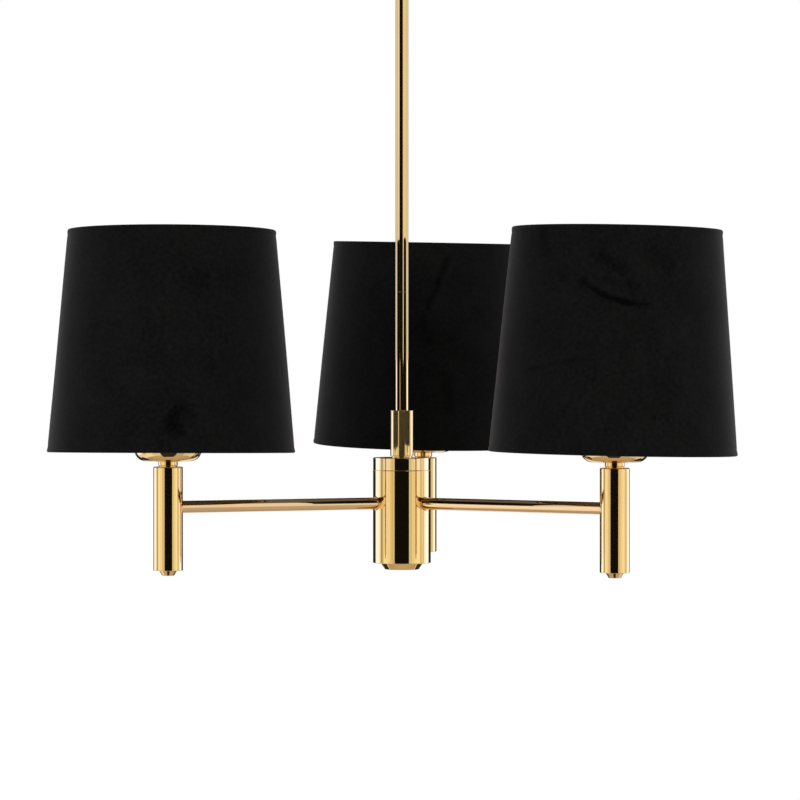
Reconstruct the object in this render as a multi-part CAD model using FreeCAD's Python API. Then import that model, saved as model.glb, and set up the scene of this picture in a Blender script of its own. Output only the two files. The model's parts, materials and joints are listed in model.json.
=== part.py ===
import FreeCAD, Part
import math
import os

# Three-arm hanging lamp on a rigid rod, with a conical drum shade on each arm.
# Millimetres. The origin is on the ceiling, in the middle of the mounting bracket. +Z is up.
# One arm lies along +Y. The stations are named as they are seen from -Y: back, left, right.

# Fits
thread_play = 0.05        # radial gap of a thread or a push fit
turn_play = 0.08          # radial gap of a shaft that turns or slides
face_play = 0.15          # gap between flat faces that turn on each other
hang_gap = 0.30           # gap between the hook, the link and the eye
same_point = 1e-6         # points nearer than this are one point

# Threads
m8_radius = 4.0
m10_radius = 5.0
m8_flats = 13.0
m8_nut_height = 5.0
m10_flats = 16.0
m10_nut_height = 4.0
nut_sides = 6

# Mounting bracket, a cranked strap
bracket_length = 84.0
bracket_width = 25.0
bracket_thick = 2.5
bracket_drop = 10.0
foot_length = 20.0
crank_run = 6.0
slot_spacing = 62.0
slot_length = 12.0
slot_width = 4.6
earth_offset = 9.0
earth_radius = 2.0
earth_head_radius = 3.8
earth_head_height = 2.6
earth_head_round = 1.0
earth_tail = 4.0

# Swivel hook
hook_wire_radius = 2.25
hook_bowl_radius = 7.0
hook_bend_radius = 4.0
hook_stem = 5.5
hook_tip_angle = 158.0
hook_nut_flats = 8.0
hook_nut_height = 3.6
hook_thread_end = 1.4

# Link and eye
link_wire_radius = 1.75
link_width = 9.0
link_height = 18.0
eye_wire_radius = 2.25
eye_bore_radius = 4.5
eye_neck_radius = 7.0
eye_neck_height = 12.5
eye_neck_round = 1.5
eye_sink = 1.9
eye_spigot = 10.0

# Rod, in two lengths joined by a threaded joiner
rod_radius = 5.5
upper_rod_length = 273.4
lower_rod_length = 138.6
joiner_length = 24.0
joiner_bore = 2.7
rod_edge = 0.3

# Canopy and the collar that holds it up
canopy_radius = 52.0
canopy_wall = 1.2
canopy_height = 72.0
canopy_round = 16.0
ceiling_gap = 4.0
canopy_collar_height = 14.0
collar_radius = 9.75
collar_edge = 0.8
grub_radius = 2.0

# Hub
hub_radius = 24.2
hub_wall = 1.6
hub_floor = 2.5
hub_height = 77.7
arm_above_hub_foot = 50.0
lid_radius = 24.1
lid_height = 10.5
lid_top = 3.0
lid_lip = 3.0
lid_lip_wall = 1.2
metal_edge = 0.4
rod_collar_height = 38.3
collar_foot_radius = 8.6
collar_foot_height = 1.2
hub_finial_radius = 17.8
hub_finial_tip = 14.1
hub_finial_height = 5.5
finial_thread = 4.0

# Tie rod and the terminal ring that it carries
tie_overlap = 22.0
tie_window_height = 9.0
terminal_ring_radius = 15.0
terminal_ring_height = 10.0
terminal_ring_rise = 10.0

# Arms
arm_radius = 5.0
arm_bore = 3.5
arm_reach = 209.5
arm_inner_end = 12.0

# Upright tubes at the arms' ends
tube_radius = 12.0
tube_wall = 1.5
tube_top = 2.5
tube_height = 84.4
arm_above_tube_foot = 51.5
tube_edge = 0.8
coupling_height = 18.0
nipple_bore = 3.25
finial_disc = 3.0
tube_finial_radius = 7.4
tube_finial_tip = 4.9
tube_finial_height = 4.2

# Bead and dish above each tube
bead_radius = 8.0
bead_height = 4.7
bead_round = 0.7
bead_foot_radius = 7.3
bead_foot_height = 0.8
dish_radius = 27.2
dish_height = 14.5
dish_wall = 1.0
dish_round = 8.6

# Lampholder, for a bulb with a 14 mm screw cap
holder_base_radius = 10.0
holder_cap_radius = 12.0
holder_cap_height = 18.0
holder_cap_round = 1.0
holder_skirt_radius = 13.3
holder_height = 52.0
holder_edge = 0.6
shoulder_radius = 17.0
shoulder_height = 25.0
shoulder_thick = 3.0
holder_socket_radius = 7.4
holder_socket_floor = 24.0
nipple_in_holder = 8.0
ring_nut_radius = 18.0
ring_nut_height = 7.0
ring_nut_edge = 1.0
ring_nut_taper = 1.0

# Bulb
bulb_cap_radius = 6.95
bulb_cap_height = 28.5
bulb_radius = 22.5
bulb_neck_radius = 13.9
bulb_length = 78.0
bulb_tip_radius = 2.5
bulb_tip_height = 1.5

# Shade and its wire frame
shade_foot_radius = 100.0
shade_top_radius = 84.4
shade_height = 180.9
shade_wall = 1.6
shade_edge = 0.7
frame_wire_radius = 1.25
frame_inset = 1.6
frame_gap = 0.25
frame_drop = 19.3
gallery_radius = 17.5
gallery_thick = 2.5
spokes = 3
spoke_radius = 1.0

# Leads and the terminal block
lead_radius = 1.9
lead_bend = 5.0
lead_turn_in_hub = 4.0
lead_rise_in_hub = 12.5
block_length = 26.0
block_depth = 15.0
block_height = 12.0
block_gap = 2.0
block_ways = 3
block_rows = (0.25, 0.75)
terminal_screw_radius = 1.6
terminal_screw_height = 1.0
terminal_screw_sink = 1.0

# The three stations, by the direction of their arms
stations = {"back": 90.0, "left": 210.0, "right": 330.0}

# Heights that follow from the sizes, from the ceiling down
plate_top = -bracket_drop
plate_foot = plate_top - bracket_thick
hook_bend_top = plate_foot - hook_stem
hook_centre = hook_bend_top - math.sqrt(hook_bowl_radius ** 2 + 2 * hook_bend_radius * hook_bowl_radius)
hook_saddle = hook_centre - hook_bowl_radius
link_top = hook_saddle + hook_wire_radius + link_wire_radius + hang_gap
link_foot = link_top - link_height
eye_radius = eye_bore_radius + eye_wire_radius
eye_top = link_foot + link_wire_radius + eye_wire_radius + hang_gap
eye_centre = eye_top - eye_radius
neck_top = eye_centre - eye_radius - eye_wire_radius + eye_sink
rod_top = neck_top - eye_neck_height
rod_joint = rod_top - upper_rod_length
lid_face = rod_joint - lower_rod_length
hub_top = lid_face - lid_height
hub_foot = hub_top - hub_height
arm_level = hub_foot + arm_above_hub_foot
hub_bore = hub_radius - hub_wall
ring_foot = arm_level + terminal_ring_rise
ring_top = ring_foot + terminal_ring_height
canopy_rim = -ceiling_gap
canopy_foot = canopy_rim - canopy_height
lead_exit = rod_top + eye_neck_height / 2
block_near = eye_neck_radius + block_gap
tube_foot = arm_level - arm_above_tube_foot
tube_head = tube_foot + tube_height
tube_bore = tube_radius - tube_wall
dish_foot = tube_head + bead_height
dish_floor = dish_foot + dish_wall
shoulder_face = dish_floor + shoulder_height
gallery_foot = shoulder_face + face_play
shade_foot = gallery_foot - frame_drop
shade_head = shade_foot + shade_height
ring_nut_foot = gallery_foot + gallery_thick + face_play
ring_nut_head = ring_nut_foot + ring_nut_height
bulb_foot = dish_floor + holder_socket_floor
bulb_top = bulb_foot + bulb_length
arm_outer_end = arm_reach - m10_radius - thread_play

V = FreeCAD.Vector
UP = V(0, 0, 1)
AXIS_X = V(1, 0, 0)
AXIS_Y = V(0, 1, 0)
ORIGIN = V(0, 0, 0)


def cylinder(radius, low, high):
    """Upright cylinder on the Z axis."""
    return Part.makeCylinder(radius, high - low, V(0, 0, low))


def lying_cylinder(radius, near, far, level):
    """Cylinder along +X at one height."""
    return Part.makeCylinder(radius, far - near, V(near, 0, level), AXIS_X)


def pipe(outer, bore, low, high):
    """Upright tube on the Z axis."""
    return cylinder(outer, low, high).cut(cylinder(bore, low, high))


def block(x_low, x_high, y_low, y_high, z_low, z_high):
    return Part.makeBox(x_high - x_low, y_high - y_low, z_high - z_low, V(x_low, y_low, z_low))


def hexagon(flats, low, high):
    """Upright hexagonal bar on the Z axis, by its width across the flats."""
    step = 2 * math.pi / nut_sides
    corner = flats / 2 / math.cos(step / 2)
    points = [V(corner * math.cos(step * i), corner * math.sin(step * i), low) for i in range(nut_sides)]
    points.append(points[0])
    return Part.Face(Part.makePolygon(points)).extrude(V(0, 0, high - low))


def turned(corners):
    """Solid of revolution about Z. A corner is (radius, height) or (radius, height, rounding)."""
    points = [V(corner[0], 0, corner[1]) for corner in corners]
    roundings = [corner[2] if len(corner) > 2 else 0.0 for corner in corners]
    turns = []
    for i, point in enumerate(points):
        if roundings[i] == 0.0:
            turns.append((point, None, point))
            continue
        back = (points[i - 1] - point).normalize()
        ahead = (points[(i + 1) % len(points)] - point).normalize()
        half = back.getAngle(ahead) / 2
        reach = roundings[i] / math.tan(half)
        inward = (back + ahead).normalize()
        middle = point + inward * (roundings[i] / math.sin(half) - roundings[i])
        turns.append((point + back * reach, middle, point + ahead * reach))
    edges = []
    for i, (start, middle, end) in enumerate(turns):
        before = turns[i - 1][2]
        if before.distanceToPoint(start) > same_point:
            edges.append(Part.LineSegment(before, start).toShape())
        if middle is not None:
            edges.append(Part.Arc(start, middle, end).toShape())
    return Part.Face(Part.Wire(edges)).revolve(ORIGIN, UP, 360)


def path_point(radius, height):
    """A point of a route that is drawn in the XZ plane."""
    return V(radius, 0, height)


def swept(path, radius, start, direction):
    """Round bar along a path of tangent lines and arcs."""
    circle = Part.Wire([Part.Circle(start, direction, radius).toShape()])
    return Part.Wire([curve.toShape() for curve in path]).makePipeShell([circle], True, False)


def arc_between(centre, radius, from_angle, to_angle):
    """Arc in the XZ plane, by the angles of its ends about its centre."""
    angles = [from_angle, (from_angle + to_angle) / 2, to_angle]
    ends = [path_point(centre[0] + radius * math.cos(math.radians(angle)),
                       centre[1] + radius * math.sin(math.radians(angle))) for angle in angles]
    return Part.Arc(*ends)


def ring_of_wire(radius, wire_radius, level):
    return Part.makeTorus(radius, wire_radius, V(0, 0, level), UP)


def mounting_bracket():
    """Strap with its feet on the ceiling and a dropped middle that carries the hook."""
    half = bracket_length / 2
    heel = half - foot_length
    middle = heel - crank_run
    side = [(-half, 0), (-heel, 0), (-middle, plate_top), (middle, plate_top), (heel, 0), (half, 0),
            (half, -bracket_thick), (heel - bracket_thick / 2, -bracket_thick),
            (middle - bracket_thick / 2, plate_foot), (-middle + bracket_thick / 2, plate_foot),
            (-heel + bracket_thick / 2, -bracket_thick), (-half, -bracket_thick), (-half, 0)]
    points = [V(x, -bracket_width / 2, z) for x, z in side]
    strap = Part.Face(Part.makePolygon(points)).extrude(V(0, bracket_width, 0))
    strap = strap.cut(cylinder(hook_wire_radius + turn_play, plate_foot, plate_top))
    earth_hole = cylinder(earth_radius + thread_play, plate_foot, plate_top)
    earth_hole.translate(V(0, earth_offset, 0))
    strap = strap.cut(earth_hole)
    run = slot_length - slot_width
    for side_sign in (-1, 1):
        centre = side_sign * slot_spacing / 2
        slot = block(centre - run / 2, centre + run / 2, -slot_width / 2, slot_width / 2, -bracket_thick, 0)
        for end in (centre - run / 2, centre + run / 2):
            rounding = cylinder(slot_width / 2, -bracket_thick, 0)
            rounding.translate(V(end, 0, 0))
            slot = slot.fuse(rounding)
        strap = strap.cut(slot)
    return strap


def earth_screw():
    """Pan-head screw up into the bracket, for the earth wire."""
    head = turned([(0, plate_foot), (earth_head_radius, plate_foot),
                   (earth_head_radius, plate_foot - earth_head_height, earth_head_round),
                   (0, plate_foot - earth_head_height)])
    shank = cylinder(earth_radius, plate_foot, plate_top + earth_tail)
    screw = head.fuse(shank)
    screw.translate(V(0, earth_offset, 0))
    return screw


def ceiling_hook():
    """Swivel hook in the YZ plane, its bowl centred under its shank."""
    join_angle = math.degrees(math.atan2(hook_bend_top - hook_centre, hook_bend_radius))
    shank_top = plate_top + face_play + hook_nut_height + hook_thread_end
    start = path_point(0, shank_top)
    path = [Part.LineSegment(start, path_point(0, hook_bend_top)),
            arc_between((hook_bend_radius, hook_bend_top), hook_bend_radius, 180, 180 + join_angle),
            arc_between((0, hook_centre), hook_bowl_radius, join_angle, hook_tip_angle - 360)]
    bar = swept(path, hook_wire_radius, start, UP)
    tip_angle = math.radians(hook_tip_angle)
    tip_centre = path_point(hook_bowl_radius * math.cos(tip_angle),
                            hook_centre + hook_bowl_radius * math.sin(tip_angle))
    hook = bar.fuse(Part.makeSphere(hook_wire_radius, tip_centre))
    hook.rotate(ORIGIN, UP, 90)
    return hook


def hook_nuts():
    """The nut above the bracket and the lock nut below it, on the hook's shank."""
    bore = hook_wire_radius + thread_play
    upper_low = plate_top + face_play
    lower_high = plate_foot - face_play
    nuts = []
    for low, high in ((upper_low, upper_low + hook_nut_height), (lower_high - hook_nut_height, lower_high)):
        nuts.append(hexagon(hook_nut_flats, low, high).cut(cylinder(bore, low, high)))
    return Part.makeCompound(nuts)


def hang_link():
    """Oval link in the XZ plane, of round wire."""
    bend = link_width / 2
    upper = link_top - bend
    lower = link_foot + bend
    start = path_point(bend, lower)
    path = [Part.LineSegment(start, path_point(bend, upper)),
            arc_between((0, upper), bend, 0, 180)]
    half_link = swept(path, link_wire_radius, start, UP)
    other = half_link.copy()
    other.rotate(V(0, 0, (upper + lower) / 2), AXIS_Y, 180)
    return half_link.fuse(other)


def rod_loop():
    """Eye in the YZ plane on a round neck, with a threaded spigot and a side way out for the lead."""
    eye = Part.makeTorus(eye_radius, eye_wire_radius, V(0, 0, eye_centre), AXIS_X)
    neck = turned([(0, neck_top), (eye_neck_radius, neck_top, eye_neck_round), (eye_neck_radius, rod_top),
                   (m8_radius, rod_top), (m8_radius, rod_top - eye_spigot), (0, rod_top - eye_spigot)])
    body = eye.fuse(neck)
    passage = cylinder(joiner_bore, rod_top - eye_spigot, lead_exit - lead_bend)
    window = block(-joiner_bore, joiner_bore, -joiner_bore, eye_neck_radius,
                   lead_exit - lead_bend, lead_exit + joiner_bore)
    return body.cut(passage).cut(window)


def threaded_rod(low, high):
    """Length of the rod, with a bore that takes the joiner's thread."""
    return turned([(m8_radius + thread_play, low), (rod_radius, low, rod_edge), (rod_radius, high, rod_edge),
                   (m8_radius + thread_play, high)])


def canopy():
    """Round cup, open to the ceiling, with the rod through its foot."""
    inner = canopy_radius - canopy_wall
    floor = canopy_foot + canopy_wall
    hole = rod_radius + hang_gap
    return turned([(inner, canopy_rim), (canopy_radius, canopy_rim),
                   (canopy_radius, canopy_foot, canopy_round), (hole, canopy_foot), (hole, floor),
                   (inner, floor, canopy_round - canopy_wall)])


def canopy_collar():
    """Collar that slides on the rod and carries the canopy."""
    low = canopy_foot - canopy_collar_height
    bore = rod_radius + turn_play
    collar = turned([(bore, low), (collar_radius, low, collar_edge), (collar_radius, canopy_foot),
                     (bore, canopy_foot)])
    level = canopy_foot - canopy_collar_height / 2
    return collar.cut(lying_cylinder(grub_radius + thread_play, 0, collar_radius, level))


def canopy_grub_screw():
    """Set screw through the collar's side, just off the rod."""
    level = canopy_foot - canopy_collar_height / 2
    screw = lying_cylinder(grub_radius, rod_radius + face_play, collar_radius - metal_edge, level)
    return screw


def rod_collar():
    """Sleeve over the rod's lower end, on a narrower foot."""
    shelf = lid_face + collar_foot_height
    bore = rod_radius + thread_play
    return turned([(bore, lid_face), (collar_foot_radius, lid_face), (collar_foot_radius, shelf),
                   (collar_radius, shelf, metal_edge), (collar_radius, shelf + rod_collar_height, metal_edge),
                   (bore, shelf + rod_collar_height)])


def hub_lid():
    """Hollow lid whose lip drops into the hub."""
    bore = m8_radius + thread_play
    lip = hub_bore - thread_play
    return turned([(bore, lid_face), (lid_radius, lid_face, metal_edge), (lid_radius, hub_top),
                   (lip, hub_top), (lip, hub_top - lid_lip), (lip - lid_lip_wall, hub_top - lid_lip),
                   (lip - lid_lip_wall, lid_face - lid_top), (bore, lid_face - lid_top)])


def hub_shell():
    """Cup with three holes for the arms."""
    bore = m8_radius + thread_play
    floor = hub_foot + hub_floor
    shell = turned([(bore, hub_foot), (hub_radius, hub_foot, metal_edge), (hub_radius, hub_top, metal_edge / 2),
                    (hub_bore, hub_top), (hub_bore, floor), (bore, floor)])
    for angle in stations.values():
        hole = lying_cylinder(arm_radius + thread_play, 0, hub_radius + hub_wall, arm_level)
        hole.rotate(ORIGIN, UP, angle)
        shell = shell.cut(hole)
    return shell


def hub_tie_rod():
    """Threaded tube that clamps rod, lid, hub and finial, with a window for the lead."""
    low = hub_foot - finial_thread
    tie = pipe(m8_radius, joiner_bore, low, lid_face + tie_overlap)
    window = block(-joiner_bore, joiner_bore, -m8_radius, 0, ring_top + thread_play,
                   ring_top + tie_window_height)
    return tie.cut(window)


def hub_nuts():
    """Nuts on the tie rod, under the lid and on the hub's floor."""
    nuts = []
    for low in (lid_face - lid_top - m8_nut_height, hub_foot + hub_floor):
        nut = hexagon(m8_flats, low, low + m8_nut_height)
        nuts.append(nut.cut(cylinder(m8_radius + thread_play, low, low + m8_nut_height)))
    return Part.makeCompound(nuts)


def finial(top_radius, tip_radius, height, level):
    """Short cone below a level, tapering down."""
    return turned([(0, level), (top_radius, level), (tip_radius, level - height, metal_edge),
                   (0, level - height)])


def hub_finial():
    """Cone under the hub, threaded on the tie rod."""
    cone = finial(hub_finial_radius, hub_finial_tip, hub_finial_height, hub_foot)
    return cone.cut(cylinder(m8_radius + thread_play, hub_foot - finial_thread, hub_foot))


def hub_terminal():
    """Ring of insulation on the tie rod, where the leads are joined."""
    return pipe(terminal_ring_radius, m8_radius + thread_play, ring_foot, ring_top)


def arm():
    return lying_cylinder(arm_radius, arm_inner_end, arm_outer_end, arm_level).cut(
        lying_cylinder(arm_bore, arm_inner_end, arm_outer_end, arm_level))


def arm_nut():
    """Nut on the arm's inner end, its outer face curved to the hub's wall."""
    seat = hub_bore - thread_play
    near = math.sqrt(seat ** 2 - (m10_flats / 2) ** 2) - m10_nut_height
    nut = hexagon(m10_flats, near, seat)
    nut.rotate(ORIGIN, AXIS_Y, 90)
    nut.translate(V(0, 0, arm_level))
    nut = nut.cut(lying_cylinder(m10_radius + thread_play, near, seat, arm_level))
    return nut.common(cylinder(seat, arm_level - m10_flats, arm_level + m10_flats))


def at_station(shape):
    """Move a piece from the Z axis to the arm's end on +X."""
    shape.translate(V(arm_reach, 0, 0))
    return shape


def arm_coupling():
    """Block inside the tube that joins the arm to the nipple."""
    half = coupling_height / 2
    core = cylinder(tube_bore - thread_play, arm_level - half, arm_level + half)
    core = core.cut(cylinder(m10_radius + thread_play, arm_level - half, arm_level + half))
    core = at_station(core)
    return core.cut(lying_cylinder(arm_radius + thread_play, arm_reach - tube_bore, arm_reach, arm_level))


def tube_nipple():
    """Threaded tube from the finial to the lampholder, with a side hole for the lead."""
    low = tube_foot + finial_disc - finial_thread
    nipple = pipe(m10_radius, nipple_bore, low, dish_floor + nipple_in_holder)
    nipple = at_station(nipple)
    return nipple.cut(lying_cylinder(arm_bore, arm_reach - m10_radius, arm_reach, arm_level))


def tube():
    """Upright tube, closed at its top, with a hole for the arm."""
    bore = m10_radius + thread_play
    body = turned([(bore, tube_head), (tube_radius, tube_head, tube_edge), (tube_radius, tube_foot, metal_edge),
                   (tube_bore, tube_foot), (tube_bore, tube_head - tube_top), (bore, tube_head - tube_top)])
    body = at_station(body)
    return body.cut(lying_cylinder(arm_radius + thread_play, arm_reach - tube_radius, arm_reach, arm_level))


def tube_finial():
    """Disc that closes the tube's foot, with a small cone below it."""
    disc = cylinder(tube_bore - thread_play, tube_foot, tube_foot + finial_disc)
    cone = finial(tube_finial_radius, tube_finial_tip, tube_finial_height, tube_foot)
    plug = disc.fuse(cone)
    socket_foot = tube_foot + finial_disc - finial_thread
    plug = plug.cut(cylinder(m10_radius + thread_play, socket_foot, tube_foot + finial_disc))
    return at_station(plug)


def bead():
    """Rounded ring between the tube and the dish."""
    bore = m10_radius + thread_play
    shelf = tube_head + bead_foot_height
    return at_station(turned([(bore, tube_head), (bead_foot_radius, tube_head), (bead_foot_radius, shelf),
                              (bead_radius, shelf, bead_round), (bead_radius, dish_foot, bead_round),
                              (bore, dish_foot)]))


def dish():
    """Shallow round bowl under the lampholder."""
    bore = m10_radius + thread_play
    inner = dish_radius - dish_wall
    rim = dish_foot + dish_height
    return at_station(turned([(bore, dish_foot), (dish_radius, dish_foot, dish_round), (dish_radius, rim),
                              (inner, rim), (inner, dish_floor, dish_round - dish_wall), (bore, dish_floor)]))


def lampholder():
    """Screw-cap lampholder with a shoulder for the shade's ring."""
    cap_top = dish_floor + holder_cap_height
    head = dish_floor + holder_height
    socket = dish_floor + holder_socket_floor
    shell = turned([(m10_radius + thread_play, dish_floor), (holder_base_radius, dish_floor),
                    (holder_cap_radius, cap_top, holder_cap_round), (holder_skirt_radius, cap_top, holder_edge),
                    (holder_skirt_radius, shoulder_face - shoulder_thick),
                    (shoulder_radius, shoulder_face - shoulder_thick, holder_edge),
                    (shoulder_radius, shoulder_face, holder_edge), (holder_skirt_radius, shoulder_face),
                    (holder_skirt_radius, head, holder_edge), (holder_socket_radius, head),
                    (holder_socket_radius, socket), (0, socket), (0, dish_floor + nipple_in_holder),
                    (m10_radius + thread_play, dish_floor + nipple_in_holder)])
    return at_station(shell)


def shade_ring():
    """Ring nut that keeps the shade's gallery on the shoulder."""
    return at_station(turned([(holder_skirt_radius + thread_play, ring_nut_foot),
                              (ring_nut_radius, ring_nut_foot, ring_nut_edge),
                              (ring_nut_radius - ring_nut_taper, ring_nut_head, ring_nut_edge),
                              (holder_skirt_radius + thread_play, ring_nut_head)]))


def bulb():
    """Round bulb with its screw cap in the holder."""
    cap_top = bulb_foot + bulb_cap_height
    centre = bulb_top - bulb_radius
    tip = cylinder(bulb_tip_radius, bulb_foot, bulb_foot + bulb_tip_height)
    cap = cylinder(bulb_cap_radius, bulb_foot + bulb_tip_height, cap_top)
    neck_top = centre - math.sqrt(bulb_radius ** 2 - bulb_neck_radius ** 2)
    neck = Part.makeCone(bulb_cap_radius, bulb_neck_radius, neck_top - cap_top, V(0, 0, cap_top))
    glass = Part.makeSphere(bulb_radius, V(0, 0, centre))
    return at_station(tip.fuse(cap).fuse(neck).fuse(glass))


def shade_slope():
    """Radius gained for each millimetre down the shade."""
    return (shade_foot_radius - shade_top_radius) / shade_height


def wall_run():
    """Thickness of the shade's wall, measured level."""
    return shade_wall * math.sqrt(1 + shade_slope() ** 2)


def shade():
    """Conical drum, open at both ends."""
    run = wall_run()
    return at_station(turned([(shade_foot_radius - run, shade_foot, shade_edge),
                              (shade_foot_radius, shade_foot, shade_edge),
                              (shade_top_radius, shade_head, shade_edge),
                              (shade_top_radius - run, shade_head, shade_edge)]))


def frame_ring_radius(level):
    """Radius of a wire ring that lies just inside the shade at a height."""
    wall = shade_foot_radius - shade_slope() * (level - shade_foot) - wall_run()
    return wall - frame_wire_radius - frame_gap


def shade_frame():
    """Foot ring of wire, the spokes that rise from it and the gallery on the lampholder."""
    ring_level = shade_foot + frame_inset
    ring_radius = frame_ring_radius(ring_level)
    middle = gallery_foot + gallery_thick / 2
    frame = ring_of_wire(ring_radius, frame_wire_radius, ring_level)
    gallery = pipe(gallery_radius, holder_skirt_radius + hang_gap, gallery_foot, gallery_foot + gallery_thick)
    frame = frame.fuse(gallery)
    start = V(gallery_radius - spoke_radius, 0, middle)
    run = V(ring_radius, 0, ring_level) - start
    for i in range(spokes):
        spoke = Part.makeCylinder(spoke_radius, run.Length, start, run)
        spoke.rotate(ORIGIN, UP, 360.0 * i / spokes)
        frame = frame.fuse(spoke)
    return at_station(frame)


def shade_top_ring():
    """Wire ring inside the shade's upper edge."""
    level = shade_head - frame_inset
    return at_station(ring_of_wire(frame_ring_radius(level), frame_wire_radius, level))


def arm_lead():
    """Lead from the lampholder down the nipple, along the arm and up to the terminal ring."""
    start = path_point(arm_reach, dish_floor + nipple_in_holder)
    outer_turn = path_point(arm_reach, arm_level + lead_bend)
    inner_end = path_point(arm_inner_end, arm_level)
    riser = arm_inner_end - lead_turn_in_hub
    path = [Part.LineSegment(start, outer_turn),
            arc_between((arm_reach - lead_bend, arm_level + lead_bend), lead_bend, 0, -90),
            Part.LineSegment(path_point(arm_reach - lead_bend, arm_level), inner_end),
            arc_between((arm_inner_end, arm_level + lead_turn_in_hub), lead_turn_in_hub, -90, -180),
            Part.LineSegment(path_point(riser, arm_level + lead_turn_in_hub), path_point(riser, ring_foot))]
    return swept(path, lead_radius, start, UP)


def mains_lead():
    """Lead from the terminal block through the rod to the top of the terminal ring."""
    bend = lead_turn_in_hub
    crossing = ring_top + bend + lead_radius
    fall = lead_rise_in_hub
    start = path_point(block_near, lead_exit)
    path = [Part.LineSegment(start, path_point(lead_bend, lead_exit)),
            arc_between((lead_bend, lead_exit - lead_bend), lead_bend, 90, 180),
            Part.LineSegment(path_point(0, lead_exit - lead_bend), path_point(0, crossing + bend)),
            arc_between((-bend, crossing + bend), bend, 0, -90),
            Part.LineSegment(path_point(-bend, crossing), path_point(bend - fall, crossing)),
            arc_between((bend - fall, crossing - bend), bend, 90, 180),
            Part.LineSegment(path_point(-fall, crossing - bend), path_point(-fall, ring_top))]
    lead = swept(path, lead_radius, start, AXIS_X)
    lead.rotate(ORIGIN, UP, 90)
    return lead


def terminal_block():
    """Row of screw terminals beside the neck, on the end of the lead."""
    low = lead_exit - block_height / 2
    high = low + block_height
    body = block(-block_length / 2, block_length / 2, block_near, block_near + block_depth, low, high)
    for x, y in terminal_screw_places():
        hole = cylinder(terminal_screw_radius + thread_play, high - terminal_screw_sink - terminal_screw_height,
                        high)
        hole.translate(V(x, y, 0))
        body = body.cut(hole)
    return body


def terminal_screw_places():
    """Centres of the two rows of terminal screws."""
    pitch = block_length / block_ways
    places = []
    for i in range(block_ways):
        for share in block_rows:
            places.append(((i - (block_ways - 1) / 2) * pitch, block_near + block_depth * share))
    return places


def terminal_screws():
    """Screws sunk in the block, over the wire ways."""
    high = lead_exit + block_height / 2 - terminal_screw_sink
    screws = []
    for x, y in terminal_screw_places():
        screw = cylinder(terminal_screw_radius, high - terminal_screw_height, high)
        screw.translate(V(x, y, 0))
        screws.append(screw)
    return Part.makeCompound(screws)


def turned_to(shape, angle):
    copy = shape.copy()
    copy.rotate(ORIGIN, UP, angle)
    return copy


def save(node, shape):
    shape.exportStep("parts/" + node + ".step")


single_pieces = [mounting_bracket, earth_screw, ceiling_hook, hook_nuts, hang_link, rod_loop, canopy,
                 canopy_collar, canopy_grub_screw, rod_collar, hub_lid, hub_shell, hub_tie_rod, hub_nuts,
                 hub_finial, hub_terminal, mains_lead, terminal_block, terminal_screws]
station_pieces = [arm, tube, tube_finial, bead, dish, lampholder, shade_ring, bulb, shade, shade_frame,
                  shade_top_ring]
grouped_pieces = {"arm_nuts": arm_nut, "arm_couplings": arm_coupling, "tube_nipples": tube_nipple,
                  "arm_leads": arm_lead}

os.makedirs("parts", exist_ok=True)
for make in single_pieces:
    save(make.__name__, make())
save("upper_rod", threaded_rod(rod_joint, rod_top))
save("lower_rod", threaded_rod(lid_face, rod_joint))
save("rod_joiner", pipe(m8_radius, joiner_bore, rod_joint - joiner_length / 2, rod_joint + joiner_length / 2))
for make in station_pieces:
    piece = make()
    for station, angle in stations.items():
        save(make.__name__ + "_" + station, turned_to(piece, angle))
for node, make in grouped_pieces.items():
    piece = make()
    save(node, Part.makeCompound([turned_to(piece, angle) for angle in stations.values()]))
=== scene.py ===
import json
import math
from collections import namedtuple

import bmesh
import bpy
import numpy as np
from bpy.props import FloatProperty, FloatVectorProperty, IntProperty, PointerProperty
from mathutils import Matrix, Vector


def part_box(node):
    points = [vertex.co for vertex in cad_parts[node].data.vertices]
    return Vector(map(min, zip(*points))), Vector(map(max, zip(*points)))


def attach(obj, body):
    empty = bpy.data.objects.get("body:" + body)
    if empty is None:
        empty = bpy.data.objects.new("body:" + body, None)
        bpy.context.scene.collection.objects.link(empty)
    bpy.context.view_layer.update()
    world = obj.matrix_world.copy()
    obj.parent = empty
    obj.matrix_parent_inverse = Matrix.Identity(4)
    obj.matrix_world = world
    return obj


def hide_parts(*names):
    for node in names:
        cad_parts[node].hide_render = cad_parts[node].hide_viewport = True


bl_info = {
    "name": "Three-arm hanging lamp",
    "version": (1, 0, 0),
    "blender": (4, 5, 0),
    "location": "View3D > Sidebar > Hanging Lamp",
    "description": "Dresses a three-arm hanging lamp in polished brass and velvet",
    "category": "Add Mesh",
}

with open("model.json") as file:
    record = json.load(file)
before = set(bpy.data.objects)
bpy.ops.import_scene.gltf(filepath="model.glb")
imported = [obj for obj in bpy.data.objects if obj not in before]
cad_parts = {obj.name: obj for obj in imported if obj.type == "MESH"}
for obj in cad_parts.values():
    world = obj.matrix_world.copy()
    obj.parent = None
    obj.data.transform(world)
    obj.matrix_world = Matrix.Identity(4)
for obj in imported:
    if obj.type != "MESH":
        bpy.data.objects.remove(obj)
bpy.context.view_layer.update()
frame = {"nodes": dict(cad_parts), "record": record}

MM = 0.001
full_turn = 2 * math.pi
same_place = 1e-6
sharp_angle = math.radians(35)
play = 0.05 * MM
unturned = Matrix.Identity(4)
end_on = Matrix.Rotation(math.pi / 2, 4, "Y")
still = Vector((0, 0, 0))
stations = ("back", "left", "right")
slot_of = {row["node"]: row["material_slot"] for row in frame["record"]["subparts"]}


# Measures that come from the frame

def corners_of(node):
    """The corners of a node, as an array in metres."""
    mesh = frame["nodes"][node].data
    places = np.empty(len(mesh.vertices) * 3, np.float32)
    mesh.vertices.foreach_get("co", places)
    return places.reshape(-1, 3).astype(float)


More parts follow.
